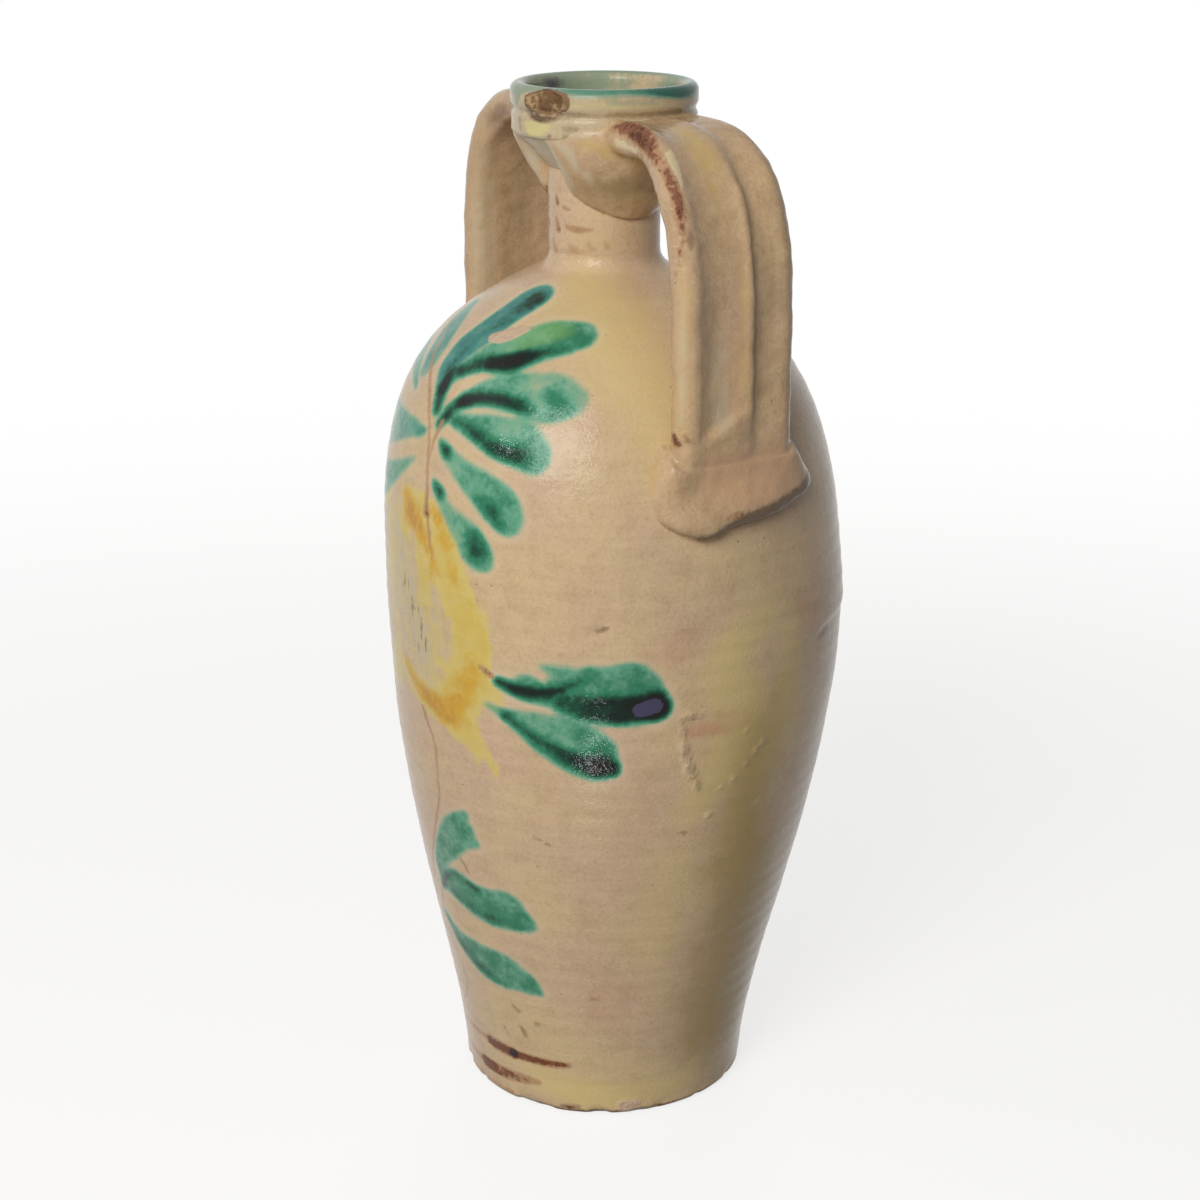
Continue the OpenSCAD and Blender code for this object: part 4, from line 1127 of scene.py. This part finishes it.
def kept_faces(clay, wanted):
    """A copy of the clay with only the faces whose middle is wanted, closed where it was cut."""
    part = clay.copy()
    gone = [f for f in part.faces if not wanted(f.calc_center_median() / MM)]
    bmesh.ops.delete(part, geom=gone, context="FACES")
    close_cut(part)
    return part


# Cuts that part the lug from the strap, and the grain and dents of the clay
LUG_CUT_X = 55.0
LUG_CUT_Z = 404.0
LUG_CUT_Y = 24.0
LUG_CUTS = (((0, 0, LUG_CUT_Z), (0, 0, 1)), ((0, LUG_CUT_Y, 0), (0, 1, 0)), ((0, -LUG_CUT_Y, 0), (0, 1, 0)))
HANDLE_GRAIN = 1.0
FINGER_DENT = 0.55
FINGER_SIZE = 16.0
TOUCH_DENT = 0.28
TOUCH_SIZE = 5.0
LUMP_SUNK = 2.8
scarf_spot = (STRAP_MID - STRAP_T / 2, 0.0, SCARF_Z)


def in_lug(middle):
    """Whether a face with this middle is the lug's and not the strap's."""
    return middle.x < LUG_CUT_X and (middle.z < LUG_CUT_Z or abs(middle.y) > LUG_CUT_Y)


lump = joined_clay([shape_tube(tube(84, 110), strap_form), shape_tube(tube(96, 30), pad_form),
                    shape_tube(tube(64, 72), lug_form)], HANDLE_GRAIN * MM)
for _ in range(3):
    bmesh.ops.smooth_vert(lump, verts=lump.verts, factor=0.5,
                          use_axis_x=True, use_axis_y=True, use_axis_z=True)
lump.normal_update()
finger = ripple([v.co / MM for v in lump.verts], FINGER_SIZE, 11)
touch = ripple([v.co / MM for v in lump.verts], TOUCH_SIZE, 12)
for vert, wave, dent in zip(lump.verts, finger, touch):
    vert.co += vert.normal * (FINGER_DENT * wave + TOUCH_DENT * dent) * MM
    reach = math.hypot(vert.co.x, vert.co.y)
    least = (seat_r(vert.co.z / MM) - LUMP_SUNK) * MM
    if reach < least:
        vert.co.xy *= least / reach
foot_clay = kept_side(lump, scarf_spot, (-1.0, 0.0, -1.0))
close_cut(foot_clay)
upper = kept_side(lump, scarf_spot, (1.0, 0.0, 1.0))
lump.free()
for spot, way in LUG_CUTS:
    near = [f for f in upper.faces if max(v.co.x for v in f.verts) < LUG_CUT_X * MM]
    around = {e for f in near for e in f.edges} | {v for f in near for v in f.verts}
    bmesh.ops.bisect_plane(upper, geom=[*around, *near], dist=SAME_PLANE * MM,
                           plane_co=Vector(spot) * MM, plane_no=way)
lug_clay = kept_faces(upper, in_lug)
strap_clay = kept_faces(upper, lambda middle: not in_lug(middle))
upper.free()

# Marks on the handles: soft edge, then strokes by x, y, z in the handle's own place, half width and load
RIGHT_MARKS = {
    "rust": (3.0, (
        ((33, -18.5, 413, 2.0, 0.90), (41, -18, 416.5, 3.0, 1.00), (52, -19.5, 416.8, 3.6, 1.10),
         (62, -20, 413.5, 3.8, 1.10), (70, -21, 408.5, 3.2, 1.05), (78, -22, 402.5, 2.8, 1.00),
         (84, -23, 397, 2.3, 1.00), (87, -23.5, 391, 1.9, 0.95), (89, -24, 385, 1.5, 0.80)),
        ((91, -24, 384, 1.8, 0.70), (89.5, -25, 378, 1.4, 0.65), (89, -25.5, 367, 1.2, 0.60)),
        ((89, -26, 308.5, 1.6, 1.15), (90, -25.6, 306.4, 1.9, 1.20)),
        ((93, -24, 309, 1.2, 1.00), (94, -23.5, 307.5, 1.2, 1.00)),
        ((98, -8, 276, 1.4, 0.80), (98, -3, 276.4, 2.0, 0.90), (97, 2, 277, 1.4, 0.70)),
    )),
    "pale": (2.6, (
        ((60, -16.4, 413.5, 1.4, 0.75), (68, -17.6, 411.5, 1.9, 0.85), (74, -18.8, 409.5, 2.1, 0.90),
         (80, -20, 405, 1.7, 0.80), (87, -20.8, 397, 1.2, 0.65)),
        ((40, -20.5, 412, 1.6, 0.80), (54, -23, 409.5, 2.0, 0.90), (64, -24, 403, 1.8, 0.90),
         (74, -25, 396, 1.4, 0.80)),
        ((47, -19, 415.5, 0.9, 0.80), (58, -22, 411.5, 1.1, 0.80)),
    )),
    "honey": (8.0, (
        ((58, -4, 417, 4.0, 0.70), (70, -5, 414, 5.0, 1.00), (80, -5, 408, 5.0, 1.10),
         (88, -6, 400, 4.6, 1.00), (92, -3, 392, 4.0, 0.50)),
        ((94.6, 1, 396, 1.6, 0.70), (94.6, 1, 370, 1.4, 0.65), (94.6, 1.4, 340, 1.4, 0.60),
         (95, 0.6, 316, 1.4, 0.50)),
        ((92, -24, 380, 3.0, 0.50), (92, -25, 356, 3.0, 0.70), (92, -25, 335, 3.0, 0.60),
         (92, -25, 310, 3.0, 0.50)),
        ((84, -34, 296, 2.4, 0.80), (83, -36, 284, 2.4, 0.90), (84, -33, 272, 2.2, 0.80)),
        ((27, -26, 409, 3.0, 0.65), (33, -18, 408, 4.0, 0.55), (38, -8, 404, 4.0, 0.40)),
    )),
    "blush": (12.0, (
        ((96, -10, 292, 10, 0.80), (96, 10, 288, 12, 0.80), (92, 26, 286, 10, 0.45)),
        # this stroke lightens the lower channel: painted light
        ((96, -4, 340, 8, 0.40), (96, -6, 318, 8, 0.50)),
    )),
    "smudge": (2.4, (
        ((92, -22.6, 388, 1.8, 0.90), (92.4, -22, 384, 2.2, 1.00), (92.2, -22, 380, 1.4, 0.80)),
        ((93, -8.6, 379.5, 0.9, 0.80), (93, -8.2, 378.5, 0.9, 0.80)),
        ((95, -2.5, 355.5, 0.9, 0.60), (95, -2, 354.8, 0.9, 0.60)),
        ((97, -8.4, 289, 1.0, 0.80), (97, -8, 288, 1.0, 0.80)),
        ((94, 16.9, 314, 0.9, 0.80), (94, 17, 313, 0.9, 0.80)),
        ((40, -22, 409, 1.4, 0.60), (36, -24, 405, 1.2, 0.50)),
        ((24, 6, 378.6, 1.0, 0.50), (22, -10, 379.4, 1.0, 0.60), (16, -18, 383.0, 1.1, 0.75),
         (11, -22, 386.4, 1.1, 0.65), (5, -25, 394, 1.0, 0.40)),
    )),
    "shade": (4.0, (
        ((93, -30, 271, 1.4, 0.70), (96, -23, 268.4, 1.8, 0.90), (98, -12, 270, 2.0, 0.90),
         (99, 0, 273, 3.4, 1.00), (98, 12, 274.6, 4.2, 1.00), (96, 24, 276, 4.6, 1.00),
         (92, 34, 278.6, 4.8, 1.00), (88, 40, 281, 4.2, 1.00), (85, 44, 284, 3.0, 0.90)),
    )),
    # painted shade on the lug below the strap and down the strap's right flute, with some greyer glaze on
    # the lug
    "grey_glaze_and_shade": (12.0, (
        ((30, 10, 397, 8, 1.00), (28, -4, 396, 8, 1.00), (25, -13, 394, 7, 0.80),
         (17, -22, 394, 4, 0.40)),
        ((34, 20, 400, 8, 0.90), (36, 4, 398, 8, 0.90)),
        ((80, 14, 417, 5, 0.40), (92, 13, 405, 5, 0.60), (95, 12, 380, 5, 0.60), (95, 12, 340, 5, 0.55),
         (95, 13, 312, 5, 0.40)),
    )),
    "cream_and_painted_light": (5.0, (
        ((8, -37, 412, 3.0, 0.70), (18, -33, 413.4, 3.2, 0.60), (27, -26, 414.6, 3.0, 0.45),
         (32, -20, 415, 2.0, 0.40)),
        ((8, 37, 412, 3.0, 1.00), (18, 33, 413.4, 3.2, 1.00), (27, 26, 414.6, 3.0, 0.90)),
        ((16, -33, 410, 2.0, 0.60), (21, -30, 406, 2.4, 0.80), (22, -26, 400, 2.0, 0.70)),
        ((8, -36, 411, 4.0, 0.75), (11, -33, 404, 4.0, 0.80), (13, -29, 397, 4.0, 0.70),
         (14, -26, 390, 3.0, 0.40)),
        ((24, -24, 398, 2.0, 0.70), (25, -21, 392, 1.6, 0.50)),
        # these three strokes are painted light: a lighter bead, a lighter lower channel and a painted
        # highlight on the foot's left edge
        ((92, -25, 362, 1.4, 0.60), (92, -25, 335, 1.5, 0.75), (92, -25, 314, 1.4, 0.60)),
        ((95, -9, 350, 4.0, 0.30), (95, -9, 325, 5.0, 0.55), (96, -8, 312, 5.0, 0.45)),
        ((88, -33, 296, 1.8, 0.70), (86, -35, 284, 1.8, 0.80), (87, -33, 273, 1.6, 0.70)),
    )),
}
LEFT_MARKS = {
    "smudge": (7.0, (
        ((46, 21, 411.5, 2.4, 0.60), (56, 22, 410, 3.4, 0.90), (66, 22, 405, 2.4, 0.60)),
        ((58, -8, 419.5, 2.4, 0.60), (72, -6, 417, 2.8, 0.60)),
        ((95, 14, 384, 1.4, 0.60), (95, 14, 374, 1.2, 0.50)),
        ((95, 16, 345, 1.6, 0.70), (95, 15, 335, 1.4, 0.55)),
    )),
    "honey": (9.0, (
        ((90, 0, 404, 4.0, 0.60), (95, 2, 390, 4.0, 0.50)),
        ((83, 30, 290, 3.0, 0.60), (84, 26, 272, 3.0, 0.60)),
    )),
    "cream_and_painted_light": (7.0, (
        ((8, -37, 412, 3.0, 1.00), (18, -33, 413.4, 3.2, 1.00), (27, -26, 414.6, 3.0, 0.90)),
        ((6, 34, 408, 5.0, 0.90), (18, 33, 411, 5.0, 1.00), (27, 26, 414.6, 3.0, 0.90)),
        ((7, 33, 404, 6.0, 0.85), (9, 29, 396, 5.0, 0.85), (10, 25, 388, 4.0, 0.60)),
        ((70, 20, 402, 5, 0.40), (80, 20, 390, 6, 0.48), (83, 20, 370, 6, 0.50), (83, 20, 340, 6, 0.48),
         (83, 20, 300, 6, 0.45)),
    )),
    # painted shade down the far handle's face
    "grey_glaze_and_shade": (12.0, (
        ((70, 4, 406, 8, 0.40), (80, 6, 394, 9, 0.45), (82, 6, 360, 9, 0.45), (82, 6, 310, 9, 0.45)),
    )),
    "shade": (5.0, (
        ((97, -12, 270, 2.4, 0.60), (98, 8, 272, 2.4, 0.70), (95, 26, 274, 2.4, 0.70),
         (86, 43, 282, 2.4, 0.60)),
    )),
}
# The left handle stands a little higher at its bend: how much, and from where
LEFT_LIFT = 3.0
LIFT_FROM_Z = 380.0
LIFT_RUN = 30.0
SIDES = (("right", 0.0, 0.0, RIGHT_MARKS), ("left", LEFT_TURN, LEFT_LIFT, LEFT_MARKS))

for side, angle, lift, marks in SIDES:
    for part, clay in (("strap", strap_clay), ("lug", lug_clay), ("foot", foot_clay)):
        name = "jug_handle_%s_%s" % (part, side)
        mesh = bpy.data.meshes.new(name)
        clay.to_mesh(mesh)
        points = read_points(mesh)
        for mark, (soft, strokes) in marks.items():
            note(mesh, mark, brushed(points, [between(stroke) for stroke in strokes], soft))
        points[:, 2] += lift * smooth((points[:, 2] - LIFT_FROM_Z) / LIFT_RUN)
        write_points(mesh, points)
        mesh.transform(Matrix.Rotation(angle, 4, "Z"))
        finish_piece(mesh, name, "glazed_handle", handle_glaze, "handle_%s_%s" % (part, side))

scene = bpy.context.scene
scene.view_settings.view_transform = "Standard"


def seen_directly(tree):
    """One where a ray shows a thing to the camera, nought where it only carries its light."""
    seen = add(tree, "ShaderNodeLightPath", {}, out="Is Camera Ray")
    for ray in ("Is Glossy Ray", "Is Transmission Ray"):
        path = add(tree, "ShaderNodeLightPath", {}, out=ray)
        seen = add(tree, "ShaderNodeMath", {0: seen, 1: path}, operation="MAXIMUM")
    return seen


# Pale paper floor that keeps the jug's shadow and fades into the white background, in metres
PAPER_R = 3.0
PAPER_GLOW = 0.74
FADE_FROM = 0.35
FADE_TO = 1.3
floor_mesh = bpy.data.meshes.new("floor")
ground = bmesh.new()
bmesh.ops.create_circle(ground, cap_ends=True, segments=96, radius=PAPER_R)
ground.to_mesh(floor_mesh)
ground.free()
floor = bpy.data.objects.new("floor", floor_mesh)
scene.collection.objects.link(floor)
paper = bpy.data.materials.new("matt paper floor")
paper.use_nodes = True
tree = paper.node_tree
tree.nodes.clear()
seen = seen_directly(tree)
glow = add(tree, "ShaderNodeMath", {0: seen, 1: PAPER_GLOW}, operation="MULTIPLY")
lit = add(tree, "ShaderNodeBsdfDiffuse", {"Color": srgb("#8c8a87")})
shown = add(tree, "ShaderNodeEmission", {"Color": (1.0, 1.0, 1.0, 1.0), "Strength": glow})
sheet = add(tree, "ShaderNodeAddShader", {0: lit, 1: shown})
place = add(tree, "ShaderNodeTexCoord", {}, out="Object")
reach = add(tree, "ShaderNodeVectorMath", {0: place}, out="Value", operation="LENGTH")
fade = add(tree, "ShaderNodeMapRange", {0: reach, 1: FADE_FROM, 2: FADE_TO},
           interpolation_type="SMOOTHSTEP")
clear = add(tree, "ShaderNodeBsdfTransparent", {})
laid = add(tree, "ShaderNodeMixShader", {0: fade, 1: sheet, 2: clear})
add(tree, "ShaderNodeOutputMaterial", {"Surface": laid}, out=None)
floor_mesh.materials.append(paper)

# White surroundings as seen, dimmer as light
AMBIENT = 0.2
world = bpy.data.worlds.new("studio")
scene.world = world
world.use_nodes = True
tree = world.node_tree
tree.nodes.clear()
seen = seen_directly(tree)
strength = add(tree, "ShaderNodeMapRange", {0: seen, 3: AMBIENT, 4: 1.0})
sky = add(tree, "ShaderNodeBackground", {"Color": (1.0, 1.0, 1.0, 1.0), "Strength": strength})
add(tree, "ShaderNodeOutputWorld", {"Surface": sky}, out=None)


def lamp(name, turn, rise, distance, height, size, watts, mirrored):
    """A round soft lamp aimed at the jug's axis, by its turn from the camera and its rise in degrees."""
    light = bpy.data.lights.new(name, "AREA")
    light.shape = "DISK"
    light.size = size
    light.energy = watts
    holder = bpy.data.objects.new(name, light)
    holder.visible_camera = False
    holder.visible_glossy = mirrored
    scene.collection.objects.link(holder)
    a = VIEW_TURN + math.radians(turn)
    b = math.radians(rise)
    aim = Vector((0.0, 0.0, height))
    spot = aim + distance * Vector((math.sin(a) * math.cos(b), -math.cos(a) * math.cos(b), math.sin(b)))
    holder.location = spot
    holder.rotation_euler = (aim - spot).to_track_quat("-Z", "Y").to_euler()


# Lamps: turn, rise, distance, height aimed at, size, watts, and whether the glaze mirrors it
lamp("key lamp", -24.0, 29.0, 1.7, 0.28, 0.95, 22.4, True)
lamp("side lamp", -85.0, 34.0, 2.0, 0.28, 1.0, 2.0, True)
lamp("back lamp", 175.0, 12.0, 2.0, 0.24, 1.2, 16.0, False)
lamp("near glint lamp", -8.0, 18.0, 1.6, 0.28, 0.06, 0.32, True)
lamp("left glint lamp", -56.0, 21.0, 1.6, 0.28, 0.08, 1.4, True)
lamp("low glint lamp", -9.2, -25.4, 0.382, 0.175, 0.024, 0.07, True)

# Camera at the photograph's viewing angle, in metres
VIEW_LENS = 69.3
VIEW_REACH = 0.9276
VIEW_Z = 0.5321
VIEW_TILT = math.radians(71.025)
VIEW_AIM = math.radians(57.1)
view = bpy.data.cameras.new("camera")
view.lens = VIEW_LENS
view.sensor_width = 36.0
camera = bpy.data.objects.new("camera", view)
scene.collection.objects.link(camera)
camera.location = (VIEW_REACH * math.sin(VIEW_TURN), -VIEW_REACH * math.cos(VIEW_TURN), VIEW_Z)
camera.rotation_euler = (VIEW_TILT, 0.0, VIEW_AIM)
scene.camera = camera
